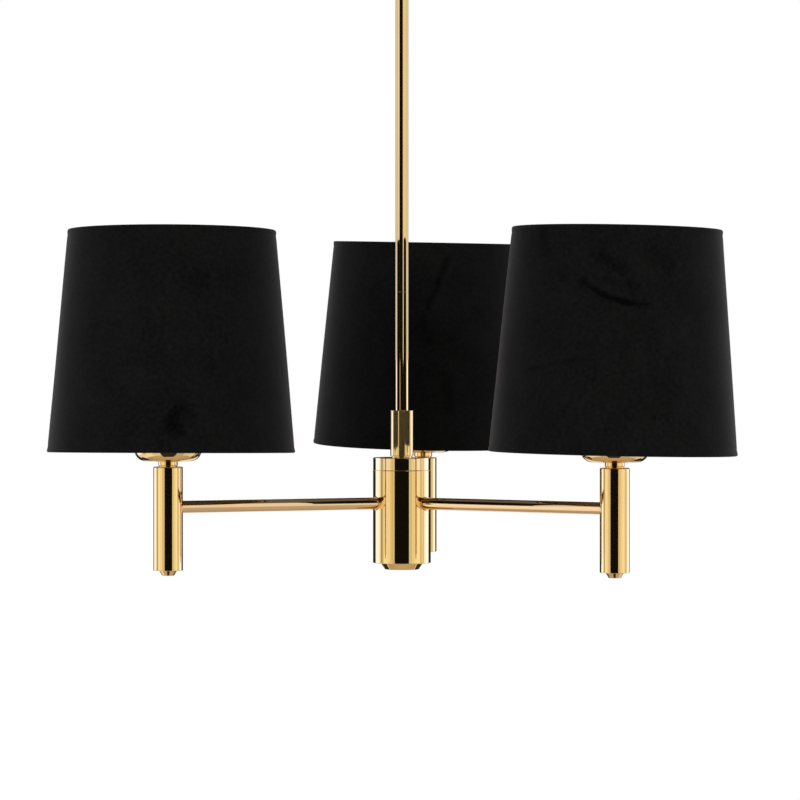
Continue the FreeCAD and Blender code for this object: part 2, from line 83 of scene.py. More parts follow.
def middle_of(node):
    """The upright axis through the middle of a round node."""
    low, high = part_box(node)
    return Vector(((low.x + high.x) / 2, (low.y + high.y) / 2, 0))


def radius_of(node, low=-math.inf, high=math.inf, centre=None):
    """Largest radius of an upright round node between two heights."""
    places = corners_of(node)
    axis = middle_of(node) if centre is None else centre
    reach = np.hypot(places[:, 0] - axis.x, places[:, 1] - axis.y)
    return float(reach[(places[:, 2] >= low) & (places[:, 2] <= high)].max())


def heights_of(node):
    """Lowest and highest point of a node."""
    low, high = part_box(node)
    return low.z, high.z


station_axis = {station: middle_of("tube_finial_" + station) for station in stations}
arm_angle = {station: math.atan2(axis.y, axis.x) for station, axis in station_axis.items()}
arm_low, arm_high = heights_of("arm_back")
arm_level, arm_radius = (arm_low + arm_high) / 2, (arm_high - arm_low) / 2


# Sizes and colours that a user would change

def length(name, millimetres, description):
    """A setting that is a length."""
    return FloatProperty(name=name, default=millimetres * MM, unit="LENGTH", description=description)


class LampSizes(bpy.types.PropertyGroup):
    """Edges, hems and counts that the looks add to the frame's own sizes."""

    round_steps: IntProperty(
        name="Steps round", default=120, min=24, max=240, description="Faces round a turned piece")
    fine_edge: length("Fine edge", 0.25, "Rounding of a turned edge")
    soft_edge: length("Soft edge", 0.5, "Rounding of a polished-over edge")
    seam_edge: length("Seam edge", 0.4, "Rounding at the hub's seam")
    hole_lip: length("Hole lip", 1.2, "Rounding where an arm enters a wall")
    velvet_thick: length("Velvet", 0.6, "Thickness of the velvet")
    lining_thick: length("Lining", 0.4, "Thickness of the stiff lining")
    hem_depth: length("Hem", 9.0, "Velvet turned in at each edge")
    lap_width: length("Lap", 10.0, "Overlap at the upright seam")
    grip_ribs: IntProperty(
        name="Grip ribs", default=36, min=6, max=72, description="Ribs round each shade nut")
    thread_pitch: length("Holder thread", 2.3, "Pitch of the lampholder's thread")


class LampFinish(bpy.types.PropertyGroup):
    """Colours and polish."""

    brass: FloatVectorProperty(
        name="Brass", subtype="COLOR", default=(0.94, 0.665, 0.285), description="Colour of the brass")
    brass_polish: FloatProperty(
        name="Brass roughness", default=0.04, min=0, max=1, description="Roughness of the brass")
    velvet: FloatVectorProperty(
        name="Velvet", subtype="COLOR", default=(0.0036, 0.0036, 0.0035), description="Colour of the pile")
    lining: FloatVectorProperty(
        name="Lining", subtype="COLOR", default=(0.36, 0.24, 0.11), description="Colour of the foil lining")


class LampStudio(bpy.types.PropertyGroup):
    """Camera and light."""

    camera_distance: length("Camera distance", 2979.1, "From the hub's axis")
    camera_azimuth: FloatProperty(
        name="Camera azimuth", default=math.radians(5.25), unit="ROTATION", description="From -Y towards +X")
    camera_height: length("Camera height", -406.2, "Up from the ceiling")
    camera_side: length("Camera offset", -1.60, "Sideways from the hub")
    camera_dip: FloatProperty(
        name="Camera dip", default=math.radians(0.551), unit="ROTATION", description="Down from level")
    lens: FloatProperty(
        name="Lens", default=159.97, description="Focal length in millimetres on a 36 mm sensor")
    daylight: FloatProperty(
        name="Room light", default=0.75, min=0, description="Even light from all round")
    tent_radius: length("Tent radius", 1600.0, "Of the ring of soft boxes and flags")


# Building meshes

class Skin:
    """Corners and faces of one piece, with the normal and the UV that each face has at each corner."""

    def __init__(self):
        self.places = []
        self.faces = []
        self.normals = []
        self.uvs = []

    def corner(self, place):
        self.places.append(Vector(place))
        return len(self.places) - 1

    def face(self, corners, normals, uvs=None):
        """Add a face, turned to face the way that its normals point."""
        uvs = uvs or [(0, 0)] * len(corners)
        a, b, c = (self.places[i] for i in (corners[0], corners[1], corners[-1]))
        if (b - a).cross(c - a).dot(sum(normals, Vector())) < 0:
            corners, normals, uvs = corners[::-1], normals[::-1], uvs[::-1]
        self.faces.append(tuple(corners))
        self.normals.extend(normals)
        self.uvs.extend(uvs)

    def band(self, outer, inner, outer_normals, inner_normals):
        """Join two closed loops that have as many corners."""
        for j in range(len(outer)):
            self.face([outer[j - 1], outer[j], inner[j], inner[j - 1]],
                      [outer_normals[j - 1], outer_normals[j], inner_normals[j], inner_normals[j - 1]])

    def moved(self, shift):
        """Move each corner by what the shift function says of its place."""
        self.places = [place + shift(place) for place in self.places]
        return self

    def made(self, name, material, place=unturned, turned_normals=True):
        """The finished object at the origin, with its place in its mesh."""
        turn = place.to_3x3()
        mesh = bpy.data.meshes.new(name)
        mesh.from_pydata([place @ p for p in self.places], [], self.faces)
        mesh.uv_layers.new(name="UVMap").data.foreach_set("uv", [x for uv in self.uvs for x in uv])
        if turned_normals:
            mesh.shade_smooth()
            mesh.normals_split_custom_set([(turn @ n).normalized() for n in self.normals])
        else:
            smoothed(mesh)
        mesh.materials.append(material)
        return linked(name, mesh)


def smoothed(mesh):
    """Shade a mesh smooth but for its sharp edges."""
    mesh.shade_smooth()
    mesh.set_sharp_from_angle(angle=sharp_angle)


def linked(name, data):
    """A new object in the scene."""
    piece = bpy.data.objects.new(name, data)
    bpy.context.scene.collection.objects.link(piece)
    return piece


def spaced(start, end, steps):
    """Evenly spaced numbers from a start to an end."""
    return [start + (end - start) * k / steps for k in range(steps + 1)]


def outline(corners, degrees_per_step=9.0):
    """Rings of a closed outline of (radius, height, rounding), as (point, normal before, normal after)."""
    points = [Vector(corner[:2]) for corner in corners]
    roundings = [corner[2] if len(corner) > 2 else 0.0 for corner in corners]
    if sum(p.x * q.y - q.x * p.y for p, q in zip(points, points[1:] + points[:1])) < 0:
        points.reverse()
        roundings.reverse()
    rings = []
    for i, point in enumerate(points):
        into = (point - points[i - 1]).normalized()
        away = (points[(i + 1) % len(points)] - point).normalized()
        before = Vector((into.y, -into.x))
        if roundings[i] == 0.0:
            rings.append((point, before, Vector((away.y, -away.x))))
            continue
        turn = math.atan2(into.x * away.y - into.y * away.x, into.dot(away))
        bulge = math.copysign(roundings[i], turn)
        centre = point - into * roundings[i] * math.tan(abs(turn) / 2) - before * bulge
        steps = max(3, round(math.degrees(abs(turn)) / degrees_per_step))
        for k in range(steps + 1):
            normal = Matrix.Rotation(turn * k / steps, 2) @ before
            rings.append((centre + normal * bulge, normal, normal))
    kept = []
    for ring in rings:
        if kept and (kept[-1][0] - ring[0]).length < same_place:
            kept[-1] = (ring[0], kept[-1][1], ring[2])
        else:
            kept.append(ring)
    if (kept[-1][0] - kept[0][0]).length < same_place:
        kept[0] = (kept[0][0], kept.pop()[1], kept[0][2])
    return kept


def with_rows(rings, heights, outward_only=False):
    """Add rings at the given heights to each stretch of wall that spans them all."""
    full = []
    for ring, following in zip(rings, rings[1:] + rings[:1]):
        full.append(ring)
        low, high = sorted((ring[0].y, following[0].y))
        if low >= min(heights) or high <= max(heights) or (outward_only and ring[2].x < 0):
            continue
        for height in sorted(heights, reverse=following[0].y < ring[0].y):
            share = (height - ring[0].y) / (following[0].y - ring[0].y)
            width = ring[0].x + (following[0].x - ring[0].x) * share
            full.append((Vector((width, height)), ring[2], ring[2]))
    return full


Hole = namedtuple("Hole", "column half heights level radius lip")


def hole_at(angle, level, radius, wall, steps, above, beside, lip):
    """A hole through an upright wall, in an open block that reaches so far above and beside it."""
    reach = radius + above
    half = math.ceil(math.asin((radius + beside) / wall) / (full_turn / steps))
    return Hole(round(angle / full_turn * steps) % steps, half, spaced(level - reach, level + reach, 6),
                level, radius, lip)


def turned_skin(rings, steps, holes=(), angles=None):
    """Surface of revolution about Z, whose walls the holes go through. All holes are at the same level."""
    skin = Skin()
    angles = angles or [full_turn * j / steps for j in range(steps)]
    if holes:
        rings = with_rows(rings, holes[0].heights)
    rows = []
    for point, *_ in rings:
        if point.x < same_place:
            rows.append([skin.corner((0, 0, point.y))] * steps)
        else:
            circle = [(point.x * math.cos(a), point.x * math.sin(a), point.y) for a in angles]
            rows.append([skin.corner(place) for place in circle])
    around = [sum((following[0] - ring[0]).length for ring, following in zip(rings[:i], rings[1:i + 1]))
              for i in range(len(rings) + 1)]

    def raised(normal, column):
        a = angles[column % steps]
        return Vector((normal.x * math.cos(a), normal.x * math.sin(a), normal.y))

    for i, ring in enumerate(rings):
        k = (i + 1) % len(rings)
        following = rings[k]
        if max(ring[0].x, following[0].x) < same_place:
            continue
        open_columns = set()
        for hole in holes:
            inside = min(hole.heights) - same_place <= min(ring[0].y, following[0].y)
            inside = inside and max(ring[0].y, following[0].y) <= max(hole.heights) + same_place
            if inside and abs(ring[0].x - following[0].x) < same_place:
                open_columns |= {(hole.column + c) % steps for c in range(-hole.half, hole.half)}
        for j in range(steps):
            if j in open_columns:
                continue
            n = (j + 1) % steps
            corners = [rows[i][j], rows[i][n], rows[k][n], rows[k][j]]
            normals = [raised(normal, column) for normal, column in
                       ((ring[2], j), (ring[2], n), (following[1], n), (following[1], j))]
            uvs = [(j / steps, around[i]), ((j + 1) / steps, around[i]),
                   ((j + 1) / steps, around[i + 1]), (j / steps, around[i + 1])]
            distinct = [c for c in range(4) if corners[c] != corners[c - 1]]
            skin.face(*([values[c] for c in distinct] for values in (corners, normals, uvs)))
    for hole in holes:
        pierce(skin, rings, rows, steps, hole)
    return skin


def block_edge(rows, first_row, step, steps, hole):
    """The corners round a hole's open block in one wall."""
    height_rows = [first_row + step * n for n in range(len(hole.heights))]
    left, right = hole.column - hole.half, hole.column + hole.half
    edge = [rows[height_rows[0]][c % steps] for c in range(left, right)]
    edge += [rows[r][right % steps] for r in height_rows[:-1]]
    edge += [rows[height_rows[-1]][c % steps] for c in range(right, left, -1)]
    return edge + [rows[r][left % steps] for r in height_rows[:0:-1]]


def pierce(skin, rings, rows, steps, hole):
    """Fill the open block of an outer and an inner wall up to a round hole, and join the two holes."""
    inward_shares = (0.4, 0.7, 0.9, 1.0)
    lip_steps = 4
    direction = full_turn * hole.column / steps
    forward = Vector((math.cos(direction), math.sin(direction), 0))
    sideways = Vector((-math.sin(direction), math.cos(direction), 0))
    mouths = []
    for i, ring in enumerate(rings):
        if abs(ring[0].y - min(hole.heights)) > same_place or abs(ring[1].y) > same_place:
            continue
        facing = math.copysign(1, ring[1].x)
        edge = block_edge(rows, i, 1 if rings[(i + 1) % len(rings)][0].y > ring[0].y else -1, steps, hole)
        wall = ring[0].x
        mouth = hole.radius + (hole.lip if facing > 0 else 0.0)
        spokes = []
        for corner in edge:
            place = skin.places[corner]
            turn = math.remainder(math.atan2(place.y, place.x) - direction, full_turn)
            rise = place.z - hole.level
            angle = math.atan2(rise, wall * math.sin(turn))
            end = (math.asin(mouth * math.cos(angle) / wall), mouth * math.sin(angle))
            spokes.append((turn, rise, end, angle))
        outward = [sideways * math.cos(angle) + Vector((0, 0, math.sin(angle))) for *_, angle in spokes]

        def wall_point(turn, rise):
            angle = direction + turn
            return Vector((wall * math.cos(angle), wall * math.sin(angle), hole.level + rise))

        def wall_normals(loop):
            return [Vector((*skin.places[c].xy, 0)).normalized() * facing for c in loop]

        loops = [edge]
        for share in inward_shares:
            loops.append([skin.corner(wall_point(turn + (end[0] - turn) * share,
                                                 rise + (end[1] - rise) * share))
                          for turn, rise, end, angle in spokes])
        for outer, inner in zip(loops, loops[1:]):
            skin.band(outer, inner, wall_normals(outer), wall_normals(inner))
        rim, surface = loops[-1], wall_normals(loops[-1])
        rim_normals = surface
        for k in range(1, lip_steps + 1 if facing > 0 else 0):
            bend = math.pi / 2 * k / lip_steps
            sunk = forward * hole.lip * (1 - math.cos(bend))
            loop = [skin.corner(wall_point(*end) - out * hole.lip * math.sin(bend) - sunk)
                    for (turn, rise, end, angle), out in zip(spokes, outward)]
            normals = [(normal * math.cos(bend) - out * math.sin(bend)).normalized()
                       for normal, out in zip(surface, outward)]
            skin.band(rim, loop, rim_normals, normals)
            rim, rim_normals = loop, normals
        mouths.append((rim, [-out for out in outward]))
    (outer, normals), (inner, _) = mouths
    skin.band(outer, inner, normals, normals)


def threaded_skin(corners, steps, radius, low, high, rows, pitch, depth):
    """Surface of revolution with a screw thread cut into its wall of one radius between two heights."""

    def screwed(place):
        if abs(place.xy.length - radius) > same_place or not low < place.z < high:
            return still
        turns = place.z / pitch - math.atan2(place.y, place.x) / full_turn
        ridge = 0.5 - 0.5 * math.cos(full_turn * turns)
        fade = min(1.0, (place.z - low) / pitch, (high - place.z) / pitch)
        return Vector((place.x, place.y, 0)) * (-depth * ridge * fade / radius)

    rings = with_rows(outline(corners), spaced(low, high, rows), outward_only=True)
    return turned_skin(rings, steps).moved(screwed)


def arc_points(centre, radius, start, end, steps=16):
    """Points of an arc in the XZ plane, by its centre's x and z and the degrees of its ends."""
    angles = [math.radians(degrees) for degrees in spaced(start, end, steps)]
    return [Vector((centre[0] + radius * math.cos(a), 0, centre[1] + radius * math.sin(a))) for a in angles]


def bent(corners, radius):
    """Points of a path through corners, with one bend radius at each inner corner."""
    path = [corners[0]]
    for before, corner, after in zip(corners, corners[1:], corners[2:]):
        into, away = (corner - before).normalized(), (after - corner).normalized()
        turn = into.angle(away)
        start = corner - into * radius * math.tan(turn / 2)
        centre = corner + (away - into).normalized() * (radius / math.cos(turn / 2))
        axis = into.cross(away).normalized()
        steps = max(4, round(math.degrees(turn) / 4))
        turns = [Matrix.Rotation(angle, 3, axis) for angle in spaced(0, turn, steps)]
        path += [centre + rotation @ (start - centre) for rotation in turns]
    return path + [corners[-1]]


def bar_skin(points, radius, sides=20, closed=False, domed=0):
    """Round bar along points, with its ends flat or domed by a number of rings."""
    skin = Skin()
    count = len(points)
    rows = []
    across = None
    for i, point in enumerate(points):
        before = points[i - 1] if closed or i else point
        following = points[(i + 1) % count] if closed or i + 1 < count else point
        along = (following - before).normalized()
        if across is None:
            across = along.orthogonal().normalized()
        across = (across - along * across.dot(along)).normalized()
        rows.append((point, along, across, 1.0, 0.0))
    bends = [math.pi / 2 * k / domed for k in range(1, domed)]
    (first, first_along, first_across, *_), (last, last_along, last_across, *_) = rows[0], rows[-1]
    head = [(first - first_along * radius * math.sin(b), first_along, first_across, math.cos(b), -math.sin(b))
            for b in reversed(bends)]
    tail = [(last + last_along * radius * math.sin(b), last_along, last_across, math.cos(b), math.sin(b))
            for b in bends]
    rows = head + rows + tail
    loops, normals = [], []
    for point, along, across, width, lean in rows:
        beside = along.cross(across)
        around = [across * math.cos(full_turn * j / sides) + beside * math.sin(full_turn * j / sides)
                  for j in range(sides)]
        loops.append([skin.corner(point + out * radius * width) for out in around])
        normals.append([out * width + along * lean for out in around])
    for i in [*range(len(rows) - 1)] + [-1] * closed:
        for j in range(sides):
            spots = [(i, j - 1), (i, j), (i + 1, j), (i + 1, j - 1)]
            skin.face([loops[a][b] for a, b in spots], [normals[a][b] for a, b in spots],
                      [((b % sides) / sides, (a % len(rows)) / len(rows)) for a, b in spots])
    for end, sign in () if closed else ((0, -1), (-1, 1)):
        point, along = rows[end][:2]
        tip = skin.corner(point + along * sign * (radius * (1 - abs(rows[end][4])) if domed else 0.0))
        for j in range(sides):
            skin.face([loops[end][j - 1], loops[end][j], tip], [along * sign] * 3)
    return skin


def turned(name, corners, material, steps=None, place=unturned):
    """A piece turned from an outline of (radius, height, rounding)."""
    count = steps or bpy.context.scene.lamp_sizes.round_steps
    return turned_skin(outline(corners), count).made(name, material, place)


def settle(piece):
    """Turn what a piece's modifiers make into its own plain mesh."""
    done = piece.evaluated_get(bpy.context.evaluated_depsgraph_get())
    mesh = bpy.data.meshes.new_from_object(done)
    piece.modifiers.clear()
    piece.data = mesh


def dressed(piece, body, node):
    """Let a piece ride on its body and stand for its node, which it hides."""
    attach(piece, body)
    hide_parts(node)


# Node trees

def fill(tree, node, inputs):
    """Give a node's inputs, by label or number, a value or a link from a socket."""
    for label, value in inputs.items():
        if isinstance(value, bpy.types.NodeSocket):
            tree.links.new(value, node.inputs[label])
        else:
            node.inputs[label].default_value = value


def add_node(tree, kind, inputs=None, **settings):
    """A new node with its settings and inputs."""
    node = tree.nodes.new(kind)
    for name, value in settings.items():
        setattr(node, name, value)
    fill(tree, node, inputs or {})
    return node


def ranged(tree, value, old, new):
    """Stretch a value from one range to another."""
    ends = dict(zip(("From Min", "From Max", "To Min", "To Max"), (*old, *new)))
    return add_node(tree, "ShaderNodeMapRange", {"Value": value, **ends}).outputs["Result"]


def added(tree, first, second):
    return add_node(tree, "ShaderNodeMath", {0: first, 1: second}).outputs[0]


# Copies of a piece

def repeat_tree(name, labels, lay_out):
    """A geometry tree that repeats its own geometry on the points that lay_out makes, turned as it says."""
    tree = bpy.data.node_groups.new(name, "GeometryNodeTree")
    tree.interface.new_socket("Geometry", in_out="OUTPUT", socket_type="NodeSocketGeometry")
    for label, kind in (("Geometry", "Geometry"), *labels, ("Material", "Material")):
        tree.interface.new_socket(label, in_out="INPUT", socket_type="NodeSocket" + kind)
    given = add_node(tree, "NodeGroupInput")
    points, angle = lay_out(tree, given)
    turn = add_node(tree, "ShaderNodeCombineXYZ", {"Z": angle})
    place = add_node(tree, "GeometryNodeInstanceOnPoints",
                     {"Points": points, "Instance": given.outputs["Geometry"], "Rotation": turn.outputs[0]})
    real = add_node(tree, "GeometryNodeRealizeInstances", {0: place.outputs[0]})
    paint = add_node(tree, "GeometryNodeSetMaterial",
                     {"Geometry": real.outputs[0], "Material": given.outputs["Material"]})
    add_node(tree, "NodeGroupOutput", {0: paint.outputs[0]})
    return tree


def round_layout(tree, given):
    """Count points on the axis, each turned on from the one before."""
    line = add_node(tree, "GeometryNodeMeshLine", {"Offset": (0, 0, 0), "Count": given.outputs["Count"]})
    number = add_node(tree, "GeometryNodeInputIndex")
    share = add_node(tree, "ShaderNodeMath", {0: number.outputs[0], 1: given.outputs["Count"]},
                     operation="DIVIDE")
    angle = add_node(tree, "ShaderNodeMath",
                     {0: share.outputs[0], 1: full_turn, 2: given.outputs["First angle"]},
                     operation="MULTIPLY_ADD")
    return line.outputs[0], angle.outputs[0]


def grid_layout(tree, given):
    """A grid of points, each with its own chance turn."""
    labels = ("Size X", "Size Y", "Vertices X", "Vertices Y")
    grid = add_node(tree, "GeometryNodeMeshGrid", {label: given.outputs[label] for label in labels})
    chance = add_node(tree, "FunctionNodeRandomValue", {"Seed": 7}, data_type="FLOAT")
    ends = [socket for socket in chance.inputs if socket.name in ("Min", "Max") and socket.type == "VALUE"]
    for socket, end in zip(ends, (0, math.pi)):
        if socket.enabled:
            socket.default_value = end
    value = next(socket for socket in chance.outputs if socket.type == "VALUE" and socket.enabled)
    return grid.outputs["Mesh"], value


layouts = {
    "copies_round_an_axis": ([("Count", "Int"), ("First angle", "Float")], round_layout),
    "copies_on_a_grid": ([("Size X", "Float"), ("Size Y", "Float"), ("Vertices X", "Int"),
                          ("Vertices Y", "Int")], grid_layout),
}
trees = {}


def repeated(piece, layout, material, **values):
    """Repeat a piece by a layout, whose inputs are given by their names with underscores."""
    if layout not in trees:
        trees[layout] = repeat_tree(layout, *layouts[layout])
    modifier = piece.modifiers.new("repeat", "NODES")
    modifier.node_group = trees[layout]
    wanted = {label.replace("_", " "): value for label, value in values.items()} | {"Material": material}
    for socket in trees[layout].interface.items_tree:
        if socket.in_out == "INPUT" and socket.name in wanted:
            modifier[socket.identifier] = wanted[socket.name]
    settle(piece)


# Materials

noise_middle = (0.3, 0.7)


def new_material(name):
    material = bpy.data.materials.new(name)
    material.use_nodes = True
    return material, material.node_tree, material.node_tree.nodes["Principled BSDF"]


def noise_on(tree, scale, detail=2.0, stretch=(1, 1, 1)):
    """Noise on Object coordinates, finer by the scale and drawn out by the stretch."""
    place = add_node(tree, "ShaderNodeTexCoord")
    mapping = add_node(tree, "ShaderNodeMapping", {"Vector": place.outputs["Object"], "Scale": stretch})
    noise = add_node(tree, "ShaderNodeTexNoise",
                     {"Vector": mapping.outputs[0], "Scale": scale, "Detail": detail})
    return noise.outputs["Fac"]


def mixed(tree, share, first, second):
    """Blend two colours by a share."""
    return add_node(tree, "ShaderNodeMix", {"A": (*first, 1), "B": (*second, 1), "Factor": share},
                    data_type="RGBA").outputs["Result"]


def clouded(tree, scale, first, second):
    """Drift between two colours in soft patches."""
    return mixed(tree, ranged(tree, noise_on(tree, scale, 3.0), noise_middle, (0, 1)), first, second)


def bumped(tree, shader, height, strength, distance):
    bump = add_node(tree, "ShaderNodeBump", {"Strength": strength, "Distance": distance, "Height": height})
    fill(tree, shader, {"Normal": bump.outputs["Normal"]})


def brass_material(name, base, polish, stretch, metallic=1.0):
    """Polished brass with fine polishing lines drawn out along one direction."""
    material, tree, shader = new_material(name)
    haze_size, patch_size, line_size, deep_shares = 60.0, 14.0, 900.0, (0.97, 0.95, 0.90)
    deep = [c * share for c, share in zip(base, deep_shares)]
    haze = noise_on(tree, haze_size, 4.0, stretch)
    fill(tree, shader, {"Metallic": metallic, "Base Color": clouded(tree, patch_size, base, deep),
                        "Roughness": ranged(tree, haze, noise_middle, (polish * 0.6, polish * 1.5))})
    bumped(tree, shader, noise_on(tree, line_size, 2.0, stretch), 0.02, 0.02 * MM)
    return material


def velvet_material(base):
    """Short black pile: mottled, with sheen at a grazing look, and brushed where the attribute says."""
    cloud_size, cloud_share, mottle_size, mottle_share, pile_size = 38.0, 0.24, 330.0, 0.38, 1400.0
    darkest, lightest = 0.15, 1.85
    material, tree, shader = new_material("velvet")
    cloud = ranged(tree, noise_on(tree, cloud_size, 3.0), noise_middle, (-cloud_share, cloud_share))
    mottle = ranged(tree, noise_on(tree, mottle_size, 3.0), noise_middle, (-mottle_share, mottle_share))
    brushed = add_node(tree, "ShaderNodeAttribute", attribute_name="nap")
    share = added(tree, added(tree, cloud, mottle), brushed.outputs["Fac"])
    dark, light = [c * darkest for c in base], [c * lightest for c in base]
    fill(tree, shader, {"Roughness": 0.9, "Specular IOR Level": 0.08, "Sheen Weight": 0.14,
                        "Sheen Roughness": 0.36, "Sheen Tint": (1.0, 0.92, 0.86, 1),
                        "Base Color": mixed(tree, ranged(tree, share, (-1, 1), (0, 1)), dark, light)})
    bumped(tree, shader, added(tree, mottle, noise_on(tree, pile_size)), 0.35, 0.15 * MM)
    return material


def grained_material(name, color, rough, scale, metallic=0.0, wear=0.85, patches=None, detail=3.0, bump=0.1):
    """Plated, moulded or pressed surface with a fine grain, in soft patches of a scale of their own."""
    material, tree, shader = new_material(name)
    grain = noise_on(tree, scale, detail)
    fill(tree, shader, {"Metallic": metallic, "Roughness": ranged(tree, grain, noise_middle, rough),
                        "Base Color": clouded(tree, patches or scale / 12, color, [c * wear for c in color])})
    bumped(tree, shader, grain, bump, 0.1 * MM)
    return material


# Colour, least and most roughness, scale of the grain, metallic, and how dark the deep patches are
grained = {
    "plated_wire": ((0.80, 0.60, 0.30), (0.224, 0.336), 900, 1.0),
    "zinc_plate": ((0.60, 0.60, 0.58), (0.272, 0.408), 900, 1.0),
    "nickel": ((0.66, 0.63, 0.57), (0.176, 0.264), 900, 1.0),
    "black_moulding": ((0.022, 0.022, 0.023), (0.36, 0.54), 900),
    "opal_glass": ((0.92, 0.91, 0.87), (0.20, 0.30), 300, 0.0, 0.97),
    "nylon": ((0.78, 0.76, 0.68), (0.40, 0.60), 500),
    "lead_sheath": ((0.80, 0.78, 0.72), (0.44, 0.66), 700),
}
materials = {}


def new_finish(name):
    """One of the lamp's materials, by its name."""
    finish = bpy.context.scene.lamp_finish
    brass, polish, along = tuple(finish.brass), finish.brass_polish, (1, 1, 0.02)
    highlight_blue, painted_lid_lift, lacquer_haze, lacquer_metal = 1.3, 0.12, 1.6, 0.91
    if name in grained:
        return grained_material(name, *grained[name])
    if name == "velvet":
        return velvet_material(finish.velvet)
    if name == "gold_lining":
        return grained_material(name, tuple(finish.lining), (0.16, 0.26), 1200.0, 1.0, 0.85, 20.0, 2.0, 0.2)
    # The arms' brass is the same brass made bluer: a painted tint that stands in for the paler look of the
    # light on the arms
    if name == "lying_brass_tinted_for_highlights":
        return brass_material(name, (brass[0], brass[1], brass[2] * highlight_blue), polish, (1, 1, 1))
    # The lid's brass is the same brass made paler: a painted highlight on the top of the hub
    if name == "lid_brass_painted_paler":
        return brass_material(name, [c + (1 - c) * painted_lid_lift for c in brass], polish, along)
    if name == "lacquered_brass":
        return brass_material(name, brass, polish * lacquer_haze, along, lacquer_metal)
    return brass_material(name, brass, polish, along)


def material_named(name):
    """The lamp's material of this name, made when it is first asked for."""
    if name not in materials:
        materials[name] = new_finish(name)
    return materials[name]


def material_of(node):
    """The finish that a node's material slot asks for."""
    finish_of = {"polished_brass": "upright_brass", "plated_steel": "zinc_plate", "velvet": "velvet",
                 "frame_wire": "plated_wire", "black_plastic": "black_moulding", "opal_glass": "opal_glass",
                 "insulation": "nylon", "lead_sheath": "lead_sheath"}
    return material_named(finish_of[slot_of[node]])


# Pieces

thin_steps, middling_steps = 72, 96
crisp_edge = 0.1 * MM
nipple_bore = 5.05 * MM


def add_turned(name, node, corners, material, steps=None, place=unturned, body="lamp"):
    """A turned piece that stands for a node."""
    dressed(turned(name, corners, material, steps, place), body, node)


def add_eased(name, node, body, edge):
    """A copy of a node with its sharp edges broken, which stands for it."""
    mesh = bpy.data.meshes.new(name)
    work = bmesh.new()
    work.from_mesh(frame["nodes"][node].data)
    bmesh.ops.remove_doubles(work, verts=work.verts, dist=0.01 * MM)
    bmesh.ops.dissolve_limit(work, angle_limit=math.radians(1), verts=work.verts, edges=work.edges)
    work.to_mesh(mesh)
    work.free()
    piece = linked(name, mesh)
    bevel = piece.modifiers.new("edge", "BEVEL")
    bevel.width = edge
    bevel.segments = 2
    bevel.limit_method = "ANGLE"
    bevel.angle_limit = math.radians(30)
    settle(piece)
    smoothed(piece.data)
    piece.data.materials.append(material_of(node))
    dressed(piece, body, node)


def upright(station):
    """The place of a station's axis."""
    return Matrix.Translation(station_axis[station])


class LAMP_OT_rod(bpy.types.Operator):
    """Build the rod's two lengths and the sleeve at its foot"""

    bl_idname = "lamp.rod"
    bl_label = "Rod"

    def execute(self, context):
        sizes = context.scene.lamp_sizes
        edge, soft = sizes.fine_edge, sizes.soft_edge
        bore = radius_of("rod_joiner") + play
        for node in ("upper_rod", "lower_rod"):
            low, high = heights_of(node)
            radius = radius_of(node)
            corners = [(bore, low), (radius, low, edge), (radius, high, edge), (bore, high)]
            name = node.replace("rod", "rod_length")
            add_turned(name, node, corners, material_named("upright_brass"), thin_steps)

        low, high = heights_of("rod_collar")
        outer, inner = radius_of("rod_collar"), radius_of("lower_rod") + play
        foot = radius_of("rod_collar", high=low + 0.5 * MM)
        shelf = low + 1.2 * MM
        corners = [(inner, low), (foot, low, crisp_edge), (foot, shelf), (outer, shelf, soft),
                   (outer, high, soft), (inner, high)]
        add_turned("rod_sleeve", "rod_collar", corners, material_named("lacquered_brass"), middling_steps)
        return {"FINISHED"}


class LAMP_OT_hub(bpy.types.Operator):
    """Build the hub's lid, its body with the three arm holes, and the cone below"""

    bl_idname = "lamp.hub"
    bl_label = "Hub"

    def execute(self, context):
        sizes = context.scene.lamp_sizes
        soft, seam, steps = sizes.soft_edge, sizes.seam_edge, sizes.round_steps
        wall, lid_thick, floor_thick = 1.6 * MM, 3 * MM, 2.5 * MM
        bore = radius_of("hub_tie_rod") + play
        foot, top = heights_of("hub_shell")
        outer, lid = radius_of("hub_shell"), radius_of("hub_lid")
        inner = outer - wall

        lip_low, lid_high = heights_of("hub_lid")
        lip, under = inner - play, lid_high - lid_thick
        corners = [(bore, lid_high), (lid, lid_high, soft), (lid, top, seam), (lip, top), (lip, lip_low),
                   (lip - wall, lip_low), (lip - wall, under), (bore, under)]
        # The lid takes the paler brass, a painted highlight on the hub's top
        add_turned("hub_cap", "hub_lid", corners, material_named("lid_brass_painted_paler"))

        floor = foot + floor_thick
        corners = [(bore, foot), (outer, foot, soft), (outer, top, seam), (inner, top), (inner, floor),
                   (bore, floor)]
        holes = [hole_at(arm_angle[station], arm_level, arm_radius + play, inner, steps, 3 * MM, 1.5 * MM,
                         sizes.hole_lip) for station in stations]
        skin = turned_skin(outline(corners), steps, holes)
        dressed(skin.made("hub_body", material_named("upright_brass")), "lamp", "hub_shell")

        low, high = heights_of("hub_finial")
        wide, tip = radius_of("hub_finial", low=high - crisp_edge), 14.1 * MM
        corners = [(0, high), (wide, high, crisp_edge), (tip, low, soft), (0, low)]
        add_turned("hub_cone", "hub_finial", corners, material_named("upright_brass"))
        return {"FINISHED"}


